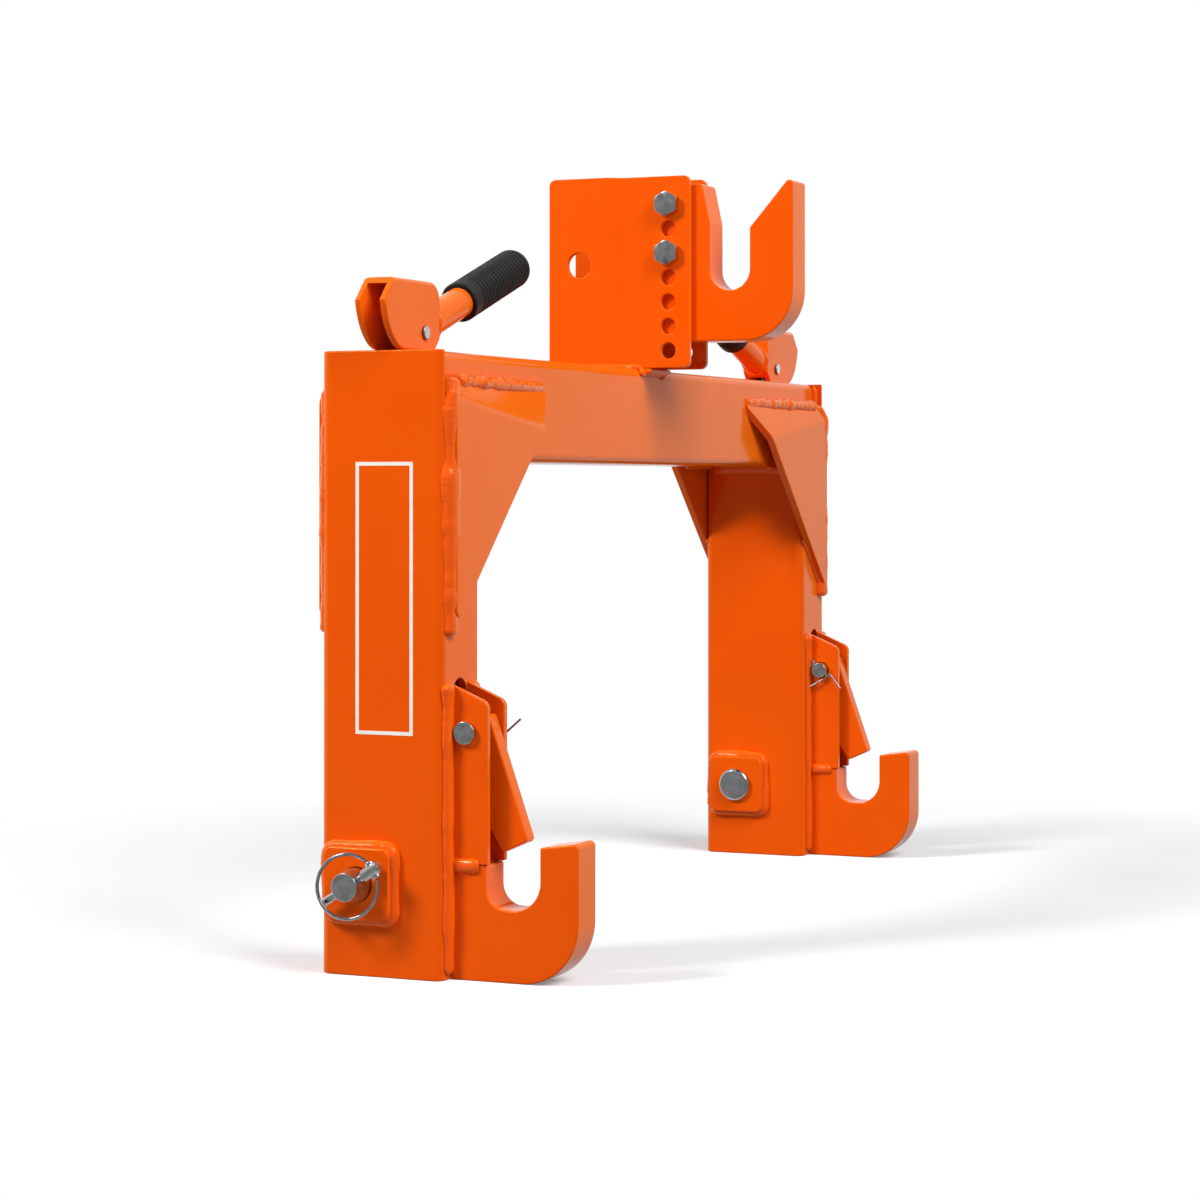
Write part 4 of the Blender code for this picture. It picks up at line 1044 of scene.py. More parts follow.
class SeamBead(LineRule):
    """A weld bead with an oval section, fine ripples, soft lumps and blunt ends."""

    VECTORS = ("half_width", "half_height")
    SECTION_SIDES = 14
    BLUNT = 0.04
    CRUST_SHIFT = 7.0

    def __init__(self) -> None:
        """Build the tree."""
        super().__init__("seam_bead", {
            "Step": 0.0009, "Ripple Pitch": 0.0036, "Ripple Depth": 0.008, "Lump Size": 0.026,
            "Lump Depth": 0.42, "Crust Size": 0.0080, "Crust Depth": 0.14, "End Run": 0.0040,
            "Seed": 1.0})
        graph = self.graph
        line = self.line()
        along = graph.number("GeometryNodeSplineParameter", output="Length")
        whole = graph.number("GeometryNodeSplineLength")
        place = graph.node("GeometryNodeInputPosition").outputs[0]
        ripple = (along * math.tau / self.value("Ripple Pitch")).sine() * self.value("Ripple Depth")
        swell = self._noise(place, "Lump Size", 0.0) * self.value("Lump Depth")
        end = (along.least(whole - along) / self.value("End Run")).least(1.0)
        share = (1.0 - (1.0 - end) ** 2.0).most(self.BLUNT) ** 0.5 * (1.0 + ripple + swell)
        spine = self._kept(line, "FLOAT_VECTOR", "spine", place)
        sized = self._kept(spine, "FLOAT", "share", share)
        around = self._kept(self.ring(self.SECTION_SIDES), "FLOAT_VECTOR", "around", place)
        bar = self.bar(sized, around)
        turn = graph.node("ShaderNodeSeparateXYZ", values={0: self._read("FLOAT_VECTOR", "around")})
        sides = [graph.vector("SCALE", self._read("FLOAT_VECTOR", label),
                              scale=Number(graph, turn.outputs[axis]))
                 for axis, label in enumerate(self.VECTORS)]
        reach = graph.vector("ADD", *sides)
        rim = graph.vector("ADD", self._read("FLOAT_VECTOR", "spine"), reach)
        crust = 1.0 + self._noise(rim, "Crust Size", self.CRUST_SHIFT) * self.value("Crust Depth")
        size = Number(graph, self._read("FLOAT", "share")) * crust
        target = graph.vector("ADD", self._read("FLOAT_VECTOR", "spine"),
                              graph.vector("SCALE", reach, scale=size))
        moved = graph.node("GeometryNodeSetPosition", values={"Geometry": bar, "Position": target})
        self.close(moved.outputs[0])

    def _kept(self, geometry: bpy.types.NodeSocket, kind: str, label: str,
              value: Any) -> bpy.types.NodeSocket:
        """Keep a value on a geometry's points under a name."""
        settings = {"data_type": kind, "domain": "POINT"}
        return self.graph.node("GeometryNodeStoreNamedAttribute", settings, {
            "Geometry": geometry, "Name": label, "Value": value}).outputs[0]

    def _read(self, kind: str, label: str) -> bpy.types.NodeSocket:
        """Return a value that was kept under a name."""
        return self.graph.node("GeometryNodeInputNamedAttribute", {"data_type": kind},
                               {"Name": label}).outputs[0]

    def _noise(self, place: bpy.types.NodeSocket, size: str, shift: float) -> Number:
        """Return noise between about -1 and 1, with features of a named size."""
        scale = self.graph.number("ShaderNodeMath", {"operation": "DIVIDE"},
                                  {0: 1.0, 1: self.value(size)})
        raw = self.graph.number("ShaderNodeTexNoise", {"noise_dimensions": "4D"}, {
            "Vector": place, "W": self.value("Seed") + shift, "Detail": 1.0, "Scale": scale})
        return (raw - 0.5) * 2.0


class RibbedGrip(NodeRule):
    """A hand grip along a line: a plain collar, rows of ribs and a rounded end."""

    RUN_IN = 0.0005
    GROOVE_POWER = 2.2

    def __init__(self) -> None:
        """Build the tree."""
        super().__init__("ribbed_grip", {"Radius": 0.01375, "Step": 0.0003, "Collar": 0.010,
                                         "Rib Pitch": 0.0044, "Rib Depth": 0.0018,
                                         "End Radius": 0.0080, "Collar Radius": 0.0015})
        graph = self.graph
        line = self.line()
        along = graph.number("GeometryNodeSplineParameter", output="Length")
        left = graph.number("GeometryNodeSplineLength") - along
        past_collar = along - self.value("Collar")
        ribbed = (past_collar / self.RUN_IN).most(0.0).least(1.0) * (
            (left - self.value("End Radius")) / self.RUN_IN).most(0.0).least(1.0)
        turns = past_collar * math.tau / self.value("Rib Pitch") + RIGHT_ANGLE
        groove = (turns.sine() * 0.5 + 0.5) ** self.GROOVE_POWER * self.value("Rib Depth") * ribbed
        crown = self._rounding(left, "End Radius")
        collar = self._rounding(along, "Collar Radius")
        width = self.value("Radius") - groove - crown - collar
        self.close(self.bar(line, self.ring(ROUND_SIDES), Scale=width))

    def _rounding(self, reach: Number, radius: str) -> Number:
        """Return how far a rounded end falls in, at a reach from that end."""
        near = (reach / self.value(radius)).least(1.0)
        return (1.0 - (1.0 - (1.0 - near) ** 2.0).most(0.0) ** 0.5) * self.value(radius)


# The workshop that turns meshes into pieces


class Shop:
    """Finishes meshes and hands them to the frame as pieces."""

    def __init__(self) -> None:
        """Make the materials and the node rules once."""
        self.materials = {
            Slot.PAINT: PowderCoat().material(),
            Slot.ZINC: ZincPlate().material(),
            Slot.WIRE: SpringWire().material(),
            Slot.RUBBER: RibbedRubber().material(),
        }
        self.decal = DecalInk().material()
        self.weld_paint = PowderCoat("orange_coat_on_welds", coat=0.20, peel_depth=0.0001).material()
        self.wire = RoundWire()
        self.bead = SeamBead()
        self.grip = RibbedGrip()

    def add(self, name: str, mesh: bpy.types.Mesh, slot: Slot | None, body: str,
            replaces: Sequence[str] = (), bevel: float = 0.0, plain: bool = False,
            finish: bpy.types.Material | None = None) -> None:
        """Make a piece of a mesh that is in place.

        Args:
            name: The piece's name.
            mesh: Its mesh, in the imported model's frame.
            slot: The slot it takes its finish from, or None for the decal film.
            body: The body that it moves with.
            replaces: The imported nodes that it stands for.
            bevel: Radius given to its sharp edges.
            plain: Whether the mesh keeps its own normals.
            finish: A material in place of the slot's own.
        """
        if not plain:
            mesh = self._softened(mesh, bevel)
        mesh.name = name
        mesh.materials.clear()
        mesh.materials.append(finish or (self.decal if slot is None else self.materials[slot]))
        piece = bpy.data.objects.new(name, mesh)
        bpy.context.scene.collection.objects.link(piece)
        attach(piece, body)
        if replaces:
            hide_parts(*replaces)
        LOG.info("%s: %d faces on %s", name, len(mesh.polygons), body)

    def weld(self, name: str, lines: Sequence[Line], body: str, **numbers: float) -> None:
        """Run weld beads along lines and hand them to the frame as one painted piece."""
        mesh = self.bead.sweep(name, lines, self.weld_paint, **numbers)
        self.add(name, mesh, Slot.PAINT, body, plain=True, finish=self.weld_paint)

    @staticmethod
    def _softened(mesh: bpy.types.Mesh, bevel: float) -> bpy.types.Mesh:
        """Round a mesh's sharp edges and weight its normals by its flat faces."""
        with edited(mesh) as bm:
            bmesh.ops.remove_doubles(bm, verts=bm.verts, dist=WELD_DISTANCE)
            bmesh.ops.dissolve_degenerate(bm, edges=bm.edges, dist=WELD_DISTANCE)
        if bevel:
            mesh = evaluated(mesh, lambda holder: Shop._add_bevel(holder, bevel))
        mesh.shade_smooth()
        mesh.set_sharp_from_angle(angle=SHARP_ANGLE)

        def add(holder: bpy.types.Object) -> None:
            """Add the weighted normals."""
            modifier = holder.modifiers.new("normals", "WEIGHTED_NORMAL")
            modifier.keep_sharp = True
            modifier.weight = NORMAL_WEIGHT

        return evaluated(mesh, add)

    @staticmethod
    def _add_bevel(holder: bpy.types.Object, radius: float) -> None:
        """Add a bevel of the sharp edges."""
        modifier = holder.modifiers.new("edges", "BEVEL")
        modifier.width = radius
        modifier.segments = BEVEL_SEGMENTS
        modifier.limit_method = "ANGLE"
        modifier.angle_limit = SHARP_ANGLE
        modifier.miter_outer = "MITER_ARC"


@dataclass
class Assembly(ABC):
    """A group of pieces that are made together."""

    shop: Shop

    @abstractmethod
    def build(self) -> None:
        """Make the pieces and hand them to the frame."""


@dataclass
class SidedAssembly(Assembly):
    """A group of pieces on one side of the hitch."""

    side: Side

    @property
    def sign(self) -> int:
        """Sign of the side's X."""
        return self.side.value

    def named(self, word: str) -> str:
        """Return a piece's name with the side in front."""
        return f"{self.side.label}_{word}"

    def hand(self, word: str, form: str, mesh: bpy.types.Mesh, slot: Slot, body: str = "frame",
             **options: Any) -> None:
        """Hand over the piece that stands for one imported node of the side.

        Args:
            word: The node's name without the side.
            form: Word for the piece's form, which ends its name.
            mesh: Its mesh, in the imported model's frame.
            slot: The slot it takes its finish from.
            body: The body that it moves with, without the side.
            **options: Other options of Shop.add.
        """
        node = self.named(word)
        owner = body if body == "frame" else self.named(body)
        self.shop.add(f"{node}_{form}", mesh, slot, owner, [node], **options)


@dataclass
class Upright(SidedAssembly):
    """Rectangular tube with its top notch, latch window and link pin bore, which also stands for the
    imported top cap.
    """

    window_sill: float = 0.0770
    window_top: float = 0.1920
    foot_edge: float = 0.0012

    def build(self) -> None:
        """Make the tube, notched at the top so that the crossbar reaches the tube's outer wall."""
        s = SIZES
        outline = rounded(rectangle(s.upright_width, s.upright_depth, s.upright_corner))
        shell = placed(plate("upright", outline, s.height, self.foot_edge),
                       (self.sign * s.upright_x, 0.0, s.height / 2))
        tools = [self._hollow(), self._notch(), self._window(), self._bore()]
        self.shop.add(self.named("upright_shell"), combined(shell, tools), Slot.PAINT, "frame",
                      [self.named("upright_tube"), self.named("top_cap")], bevel=0.0004)

    def _hollow(self) -> bpy.types.Mesh:
        """Return the tube's inside."""
        s = SIZES
        inside = rounded(rectangle(s.upright_width - 2 * s.tube_wall, s.upright_depth - 2 * s.tube_wall,
                                   s.upright_corner - s.tube_wall))
        return placed(plate("hollow", inside, s.height + 2 * CUT_OVERRUN),
                      (self.sign * s.upright_x, 0.0, s.height / 2))

    def _notch(self) -> bpy.types.Mesh:
        """Return the notch that leaves only the outer wall beside the crossbar's end."""
        s = SIZES
        wide = s.upright_width + CUT_OVERRUN
        deep = s.upright_depth + 2 * CUT_OVERRUN
        tall = s.crossbar_size + s.gap + CUT_OVERRUN
        return placed(block("notch", (wide, deep, tall)),
                      (self.sign * (s.crossbar_end + s.gap - wide / 2), 0.0,
                       s.height + CUT_OVERRUN - tall / 2))

    def _window(self) -> bpy.types.Mesh:
        """Return the arched window that the latch's tongue passes through."""
        s = SIZES
        half = s.cheek_inner
        arch = rounded([(-half, self.window_sill, 0.0), (half, self.window_sill, 0.0),
                        (half, self.window_top, half), (-half, self.window_top, half)])
        return placed(plate("window", arch, s.tube_wall + 2 * CUT_OVERRUN),
                      (self.sign * s.hook_x, s.tube_wall / 2 - s.face, 0.0), Facing.ALONG_Y)

    def _bore(self) -> bpy.types.Mesh:
        """Return the bore of the link pin."""
        s = SIZES
        return placed(cylinder("bore", s.link_pin_diameter + 2 * s.gap, s.upright_width + 2 * CUT_OVERRUN),
                      (self.sign * s.upright_x, s.link_pin_y, s.link_pin_z), Facing.ALONG_X)


@dataclass
class Crossbar(Assembly):
    """Square tube whose ends lie in the uprights' notches, with the slots of the pull rods."""

    slot_width: float = 0.0116
    slot_length: float = 0.0240

    def build(self) -> None:
        """Make the tube and cut the slots through both of its walls."""
        s = SIZES
        inside = s.crossbar_size - 2 * s.tube_wall
        hollow = rounded(rectangle(inside, inside, s.crossbar_corner - s.tube_wall))
        outline = rounded(rectangle(s.crossbar_size, s.crossbar_size, s.crossbar_corner))
        tube = plate("crossbar", outline, 2 * s.crossbar_end, holes=[hollow])
        middle = s.height - s.crossbar_size / 2
        placed(tube, (0.0, 0.0, middle), Facing.ALONG_X)
        slot = rounded(rectangle(self.slot_length, self.slot_width, self.slot_width / 2 - WELD_DISTANCE))
        slots = [placed(plate("slot", slot, s.crossbar_size + 2 * CUT_OVERRUN),
                        (side.value * s.rod_x, s.rod_y, middle)) for side in Side]
        self.shop.add("crossbar_shell", combined(tube, slots), Slot.PAINT, "frame", ["crossbar_tube"],
                      bevel=0.0004)


@dataclass
class Gusset(SidedAssembly):
    """Corner plate whose top is folded back to meet the crossbar."""

    face: Face
    thickness: float = 0.0060
    edge_inset: float = 0.0095
    top_drop: float = 0.0190
    reach: float = 0.1610
    length: float = 0.1590
    tip_height: float = 0.0050
    top_corner: float = 0.0160
    corner: float = 0.0050
    fold_drop: float = 0.0300
    fold_radius: float = 0.0140
    tip_thickness: float = 0.0010
    shoulder_thickness: float = 0.0012

    def build(self) -> None:
        """Make the plate, fold it and grind it to what it lies on."""
        s = SIZES
        outer = s.outer - self.edge_inset
        inner = outer - self.reach
        top = s.height - self.top_drop
        sign = self.sign
        outline = rounded([(sign * outer, top, self.top_corner), (sign * inner, top, 0.0),
                           (sign * inner, top - self.tip_height, 0.0),
                           (sign * outer, top - self.length, self.corner)])
        tip_lean = s.plate_face + self.thickness - (s.crossbar_face + s.gap + self.tip_thickness)
        lean_share = (self.thickness - self.shoulder_thickness) / tip_lean
        slope = self.reach / (self.length - self.tip_height)
        tip_run = (self.fold_drop - self.tip_height) * slope
        outer_run = self.reach - tip_run
        tilt = math.atan((1 - lean_share) * self.fold_drop / (lean_share * tip_run + outer_run))
        tip_reach = self.fold_drop * math.cos(tilt) + tip_run * math.sin(tilt)
        point = Vector((sign * (inner + tip_run), top - self.fold_drop, 0.0))
        across = Vector((-sign * math.sin(tilt), math.cos(tilt), 0.0))
        sheet = plate("gusset", outline, self.thickness, SOFT_EDGE)
        folded(sheet, point, across, math.asin(tip_lean / tip_reach), self.fold_radius, self.face.value)
        middle = self.face.value * (s.plate_face + self.thickness / 2)
        placed(sheet, (0.0, middle, 0.0), Facing.ALONG_Y)
        seat = placed(block("seat", (s.upright_width + s.gap, s.upright_depth + s.gap, 2 * s.height)),
                      (sign * s.upright_x, 0.0, s.height / 2))
        bed_size = s.crossbar_size + s.gap
        bed = placed(block("bed", (2 * s.outer, bed_size, bed_size)),
                     (0.0, 0.0, s.height - s.crossbar_size / 2))
        self.hand(f"gusset_{self.face.name.lower()}", "plate", combined(sheet, [seat, bed]), Slot.PAINT)


@dataclass
class LinkPin(SidedAssembly):
    """Lower link pin with its boss plates, linch pin and spring ring."""

    reach: float = 0.0160
    chamfer: float = 0.0016
    nose_diameter: float = 0.0180
    nose_length: float = 0.0090
    head_diameter: float = 0.0270
    head_thickness: float = 0.0050
    boss_corner: float = 0.0060
    boss_edge: float = 0.0011
    broken_edge: float = 0.0003
    shank_diameter: float = 0.0056
    shank_x: float = 0.3845
    tilt: float = math.radians(33.0)
    tail: float = 0.0245
    eye_width: float = 0.0120
    eye_diameter: float = 0.0064
    knob_diameter: float = 0.0086
    knob_start: float = 0.0130
    knob_end: float = 0.0262
    ring_radius: float = 0.0205
    ring_wire: float = 0.0024
    ring_tilt: float = math.radians(8.6)
    ring_steps: int = 96

    def build(self) -> None:
        """Make the bosses, the pin, the linch pin and its ring."""
        self._bosses()
        self._pin()
        self._linch_pin()
        self._ring()

    @property
    def lean(self) -> Matrix:
        """Rotation from the linch pin's own axis to where it stands."""
        return Matrix.Rotation(RIGHT_ANGLE - self.tilt, 3, "X")

    @property
    def hinge(self) -> Vector:
        """Middle of the linch pin's eye, which the ring turns on."""
        s = SIZES
        start = Vector((self.sign * self.shank_x, s.link_pin_y, s.link_pin_z))
        return start + self.lean @ Vector((0.0, 0.0, self.ring_radius))

    def _bosses(self) -> None:
        """Make the two plates that carry the pin."""
        s = SIZES
        outline = rounded(rectangle(s.boss_size, s.boss_size, self.boss_corner))
        bore = circle(s.link_pin_diameter + 2 * s.gap)
        for word, x in (("outer", s.outer + s.gap + s.boss_thickness / 2),
                        ("inner", s.inner - s.gap - s.boss_thickness / 2)):
            boss = plate("boss", outline, s.boss_thickness, self.boss_edge, [bore])
            placed(boss, (self.sign * x, s.link_pin_y, s.link_pin_z), Facing.ALONG_X)
            self.hand(f"boss_{word}", "plate", boss, Slot.PAINT)

    def _pin(self) -> None:
        """Make the link pin, whose head is on the inner boss."""
        s = SIZES
        radius = s.link_pin_diameter / 2
        head = self.head_diameter / 2
        seat = -(s.inner - 2 * s.gap - s.boss_thickness)
        tip = -(s.outer + s.gap + s.boss_thickness + self.reach)
        crown = seat + self.head_thickness
        chamfer = self.chamfer
        edge = self.broken_edge
        profile = [(0.0, crown, 0.0), (head - chamfer, crown, chamfer), (head, crown - chamfer, chamfer),
                   (head, seat, edge), (radius, seat, 0.0), (radius, tip + self.nose_length, 2 * edge),
                   (self.nose_diameter / 2, tip, 2 * edge), (0.0, tip, 0.0)]
        pin = turned("link_pin", profile)
        pin.transform(Matrix.Rotation(-self.sign * RIGHT_ANGLE, 4, "Y"))
        placed(pin, (0.0, s.link_pin_y, s.link_pin_z))
        hole = cylinder("linch_hole", self.shank_diameter + 2 * s.gap, 2 * s.link_pin_diameter)
        placed(hole, (self.sign * self.shank_x, s.link_pin_y, s.link_pin_z), turn=self.lean)
        self.hand("link_pin", "bar", combined(pin, [hole]), Slot.ZINC, bevel=edge)

    def _linch_pin(self) -> None:
        """Make the linch pin's shank, its cast knob and the eye through it."""
        s = SIZES
        radius = self.shank_diameter / 2
        knob = self.knob_diameter / 2
        profile = [(0.0, self.knob_end, 0.0), (knob - 0.0010, self.knob_end, 0.0004),
                   (knob, self.knob_end - 0.0012, 0.0006), (knob, self.knob_start, 0.0012),
                   (radius, self.knob_start - 0.0008, 0.0003), (radius, radius - self.tail, 0.0012),
                   (radius / 2, -self.tail, 0.0008), (0.0, -self.tail, 0.0)]
        shank = placed(turned("linch_pin", profile),
                       (self.sign * self.shank_x, s.link_pin_y, s.link_pin_z), turn=self.lean)
        eye = cylinder("linch_eye", self.eye_diameter, self.eye_width, 0.0010)
        eye.transform(self.lean.to_4x4() @ Facing.ALONG_Y.matrix)
        placed(eye, self.hinge)
        self.hand("linch_pin", "bar", combined(shank, [eye], "UNION"), Slot.ZINC)

    def _ring(self) -> None:
        """Make the spring ring, whose ends enter the eye's two flanks."""
        flank = self.eye_width / 2 + SIZES.gap
        start = math.asin((flank + self.ring_wire / 2 * flank / self.ring_radius) / self.ring_radius)
        tilt = self.ring_tilt
        path = []
        for step in range(self.ring_steps + 1):
            angle = start + (math.tau - 2 * start) * step / self.ring_steps
            drop = self.ring_radius * (1 - math.cos(angle))
            point = Vector((self.sign * drop * math.sin(tilt), self.ring_radius * math.sin(angle),
                            -drop * math.cos(tilt)))
            path.append(self.hinge + self.lean @ point)
        mesh = self.shop.wire.sweep("ring", [(path,)], self.shop.materials[Slot.WIRE], step=0.0012,
                                    radius=self.ring_wire / 2)
        self.hand("linch_ring", "wire", mesh, Slot.WIRE, "ring", plain=True)


@dataclass
class LowerHook(SidedAssembly):
    """Flame-cut hook plate with the two cheeks that carry the latch."""

    length: float = 0.0896
    tip_height: float = 0.0907
    tip_fall: float = 0.0037
    nose_radius: float = 0.0395
    throat_width: float = 0.0381
    throat_offset: float = 0.0440
    throat_height: float = 0.0650
    shoulder_radius: float = 0.0020
    cheek_reach: float = 0.0268
    cheek_fall: float = 0.0115
    cheek_corner: float = 0.0060
    toe_corner: float = 0.0012
    tip_corner: float = 0.0036
    rim_corner: float = 0.0015
    hook_edge: float = 0.0012
    cheek_edge: float = 0.0008
    pin_diameter: float = 0.0127

    def build(self) -> None:
        """Make the hook and its cheeks."""
        s = SIZES
        half = self.throat_width / 2
        front = -(s.face + self.length)
        throat = -(s.face + self.throat_offset)
        back = -s.plate_face
        outline = rounded([(back, 0.0, 0.0), (front, 0.0, self.nose_radius),
                           (front, self.tip_height, self.tip_corner),
                           (throat - half, self.tip_height - self.tip_fall, self.rim_corner),
                           (throat - half, self.throat_height - half, half),
                           (throat + half, self.throat_height - half, half),
                           (throat + half, s.hook_shoulder, self.shoulder_radius),
                           (back, s.hook_shoulder, 0.0)])
        hook = plate("hook", outline, s.hook_thickness, self.hook_edge)
        placed(hook, (self.sign * s.hook_x, 0.0, 0.0), Facing.ALONG_X)
        self.shop.add(self.named("hook_plate"), hook, Slot.PAINT, "frame", [self.named("lower_hook")])
        foot = s.hook_shoulder + s.gap
        reach = -s.face - self.cheek_reach
        cheek_outline = rounded([(back, foot, 0.0), (reach, foot, self.toe_corner),
                                 (reach, s.cheek_top - self.cheek_fall, self.cheek_corner),
                                 (back, s.cheek_top, 0.0)])
        hole = circle(self.pin_diameter + 2 * s.gap, (s.latch_pin_y, s.latch_pin_z))
        for word, offset in (("outer", 1), ("inner", -1)):
            cheek = plate("cheek", cheek_outline, s.plate, self.cheek_edge, [hole])
            x = self.sign * (s.hook_x + offset * (s.cheek_inner + s.plate / 2))
            placed(cheek, (x, 0.0, 0.0), Facing.ALONG_X)
            self.hand(f"latch_cheek_{word}", "plate", cheek, Slot.PAINT)


@dataclass
class Latch(SidedAssembly):
    """Locking plate that closes the hook's throat, with its pin and split pin."""

    pin_diameter: float = 0.0127
    top_rise: float = 0.0110
    top_reach: float = 0.0105
    nose_reach: float = 0.0382
    nose_drop: float = 0.0690
    heel_reach: float = 0.0205
    heel_drop: float = 0.0770
    back: float = 0.0090
    corner: float = 0.0030
    edge: float = 0.0012
    thickness: float = 0.0120
    drift: Mapping[Side, float] = field(default_factory=lambda: {Side.LEFT: 0.0029, Side.RIGHT: 0.0012})
    tongue_thickness: float = 0.0090
    tongue_half: float = 0.0048
    tongue_overhang: float = 0.0060
    tongue_droop: float = math.radians(20.18)
    tongue_round_share: float = 0.98
    head_diameter: float = 0.0150
    head_thickness: float = 0.0035
    pin_tail: float = 0.0070
    wire: float = 0.0016
    setback: float = 0.0035
    eye_steps: int = 12
    eye: Mapping[Side, float] = field(default_factory=lambda: {Side.LEFT: 0.0030, Side.RIGHT: 0.0022})
    spin: Mapping[Side, float] = field(default_factory=lambda: {Side.LEFT: 0.0,
                                                                Side.RIGHT: math.radians(50.0)})
    legs: Mapping[Side, tuple[tuple[float, ...], ...]] = field(default_factory=lambda: {
        Side.LEFT: ((0.0, -0.0232, 0.0071), (0.0080, 0.0099, -0.0170)),
        Side.RIGHT: ((0.0, -0.0185, -0.0152), (-0.0020, 0.0154, -0.0179))})

    def build(self) -> None:
        """Make the locking plate, the pin and the split pin."""
        s = SIZES
        centre = (self.sign * s.hook_x, s.latch_pin_y, s.latch_pin_z)
        outline = rounded([(-self.top_reach, self.top_rise, self.corner),
                           (-self.nose_reach, -self.nose_drop, self.corner),
                           (-self.heel_reach, -self.heel_drop, self.corner),
                           (self.back - self.corner, -self.nose_drop / 2, self.corner),
                           (self.back, self.top_rise, self.corner)])
        body = placed(plate("latch", outline, self.thickness, self.edge),
                      (centre[0] + self.drift[self.side], centre[1], centre[2]), Facing.ALONG_X)
        arm = s.rod_y - s.latch_pin_y
        length = arm / math.cos(self.tongue_droop) + self.tongue_overhang
        half = self.tongue_half
        tip = half * self.tongue_round_share
        turn = Matrix.Rotation(-self.tongue_droop, 2)
        bar = [(0.0, -half, 0.0), (length, -half, tip), (length, half, tip), (0.0, half, 0.0)]
        tongue = rounded([(*(turn @ Vector((x, y))), radius) for x, y, radius in bar])
        tongue_mesh = placed(plate("tongue", tongue, self.tongue_thickness),
                             (centre[0] + self.sign * s.gap, centre[1], centre[2]), Facing.ALONG_X)
        body = combined(body, [tongue_mesh], "UNION")
        hole = placed(cylinder("hole", self.pin_diameter + 2 * s.gap, 2 * s.latch_thickness), centre,
                      Facing.ALONG_X)
        self.hand("latch", "plate", combined(body, [hole]), Slot.PAINT, "latch")
        self._pin(centre)
        self._split_pin()

    def _pin(self, centre: tuple[float, float, float]) -> None:
        """Make the headed pin."""
        s = SIZES
        radius = self.pin_diameter / 2
        head = self.head_diameter / 2
        reach = s.cheek_outer + s.gap
        tail = -(s.cheek_outer + self.pin_tail)
        crown = reach + self.head_thickness
        profile = [(0.0, crown, 0.0), (head, crown, 0.0009), (head, reach, 0.0003),
                   (radius, reach, 0.0), (radius, tail, 0.0010), (0.0, tail, 0.0)]
        pin = turned("latch_pin", profile)
        pin.transform(Matrix.Rotation(self.sign * RIGHT_ANGLE, 4, "Y"))
        self.hand("latch_pin", "bar", placed(pin, centre), Slot.ZINC)

    def _split_pin(self) -> None:
        """Make the split pin through the pin's tail, with its legs spread by hand."""
        s = SIZES
        x = self.sign * (s.hook_x - s.cheek_outer - self.pin_tail + self.setback)
        centre = Vector((x, s.latch_pin_y, s.latch_pin_z))
        radius = self.pin_diameter / 2
        apart = self.wire / 2 + s.gap
        throat = radius + self.wire
        eye = self.eye[self.side]
        gape = math.asin(apart / eye)
        eye_z = throat + eye * math.cos(gape) - self.wire / 2
        spin = Matrix.Rotation(-self.spin[self.side], 3, "X")
        front, rear = (Vector(leg) for leg in self.legs[self.side])
        shank = [(-2 * self.wire, -throat - self.wire), (-apart, -throat), (-apart, 0.0),
                 (-apart, throat)]
        turns = [gape + (math.tau - 2 * gape) * step / self.eye_steps
                 for step in range(1, self.eye_steps)]
        shank += [(-eye * math.sin(turn), eye_z - eye * math.cos(turn)) for turn in turns]
        shank += [(apart, throat), (apart, 0.0), (apart, -throat)]
        points = [front, *(spin @ Vector((0.0, y, z)) for y, z in shank), rear]
        path = [centre + point for point in smooth_path(points, 5)]
        mesh = self.shop.wire.sweep("split_pin", [(path,)], self.shop.materials[Slot.ZINC], step=0.0006,
                                    radius=self.wire / 2)
        self.hand("cotter_pin", "wire", mesh, Slot.ZINC, plain=True)


@dataclass
class PullRod(SidedAssembly):
    """Rod in the upright, with the eye that the lever's pin passes through."""

    diameter: float = 0.0100
    eye_diameter: float = 0.0190
    eye_thickness: float = 0.0120
    foot_diameter: float = 0.0080
    foot_height: float = 0.1289
    pin_diameter: float = 0.0090

    def build(self) -> None:
        """Make the rod with its eye and foot."""
        s = SIZES
        x = self.sign * s.rod_x
        tail = self.foot_height - self.foot_diameter
        length = s.lever_pin_z - tail
        rod = placed(cylinder("rod", self.diameter, length, 0.0010), (x, s.rod_y, tail + length / 2))
        eye = placed(cylinder("eye", self.eye_diameter, self.eye_thickness, 0.0008),
                     (x, s.rod_y, s.lever_pin_z), Facing.ALONG_Y)
        reach = s.hook_x + s.latch_thickness / 2 - s.rod_x + s.latch_clearance
        foot = placed(cylinder("foot", self.foot_diameter, reach, 0.0006),
                      (x + self.sign * reach / 2, s.rod_y, self.foot_height), Facing.ALONG_X)
        bore = placed(cylinder("bore", self.pin_diameter + 2 * s.gap, 2 * self.eye_thickness),
                      (x, s.rod_y, s.lever_pin_z), Facing.ALONG_Y)
        whole = combined(combined(rod, [eye, foot], "UNION"), [bore])
        self.hand("pull_rod", "bar", whole, Slot.ZINC, "rod")


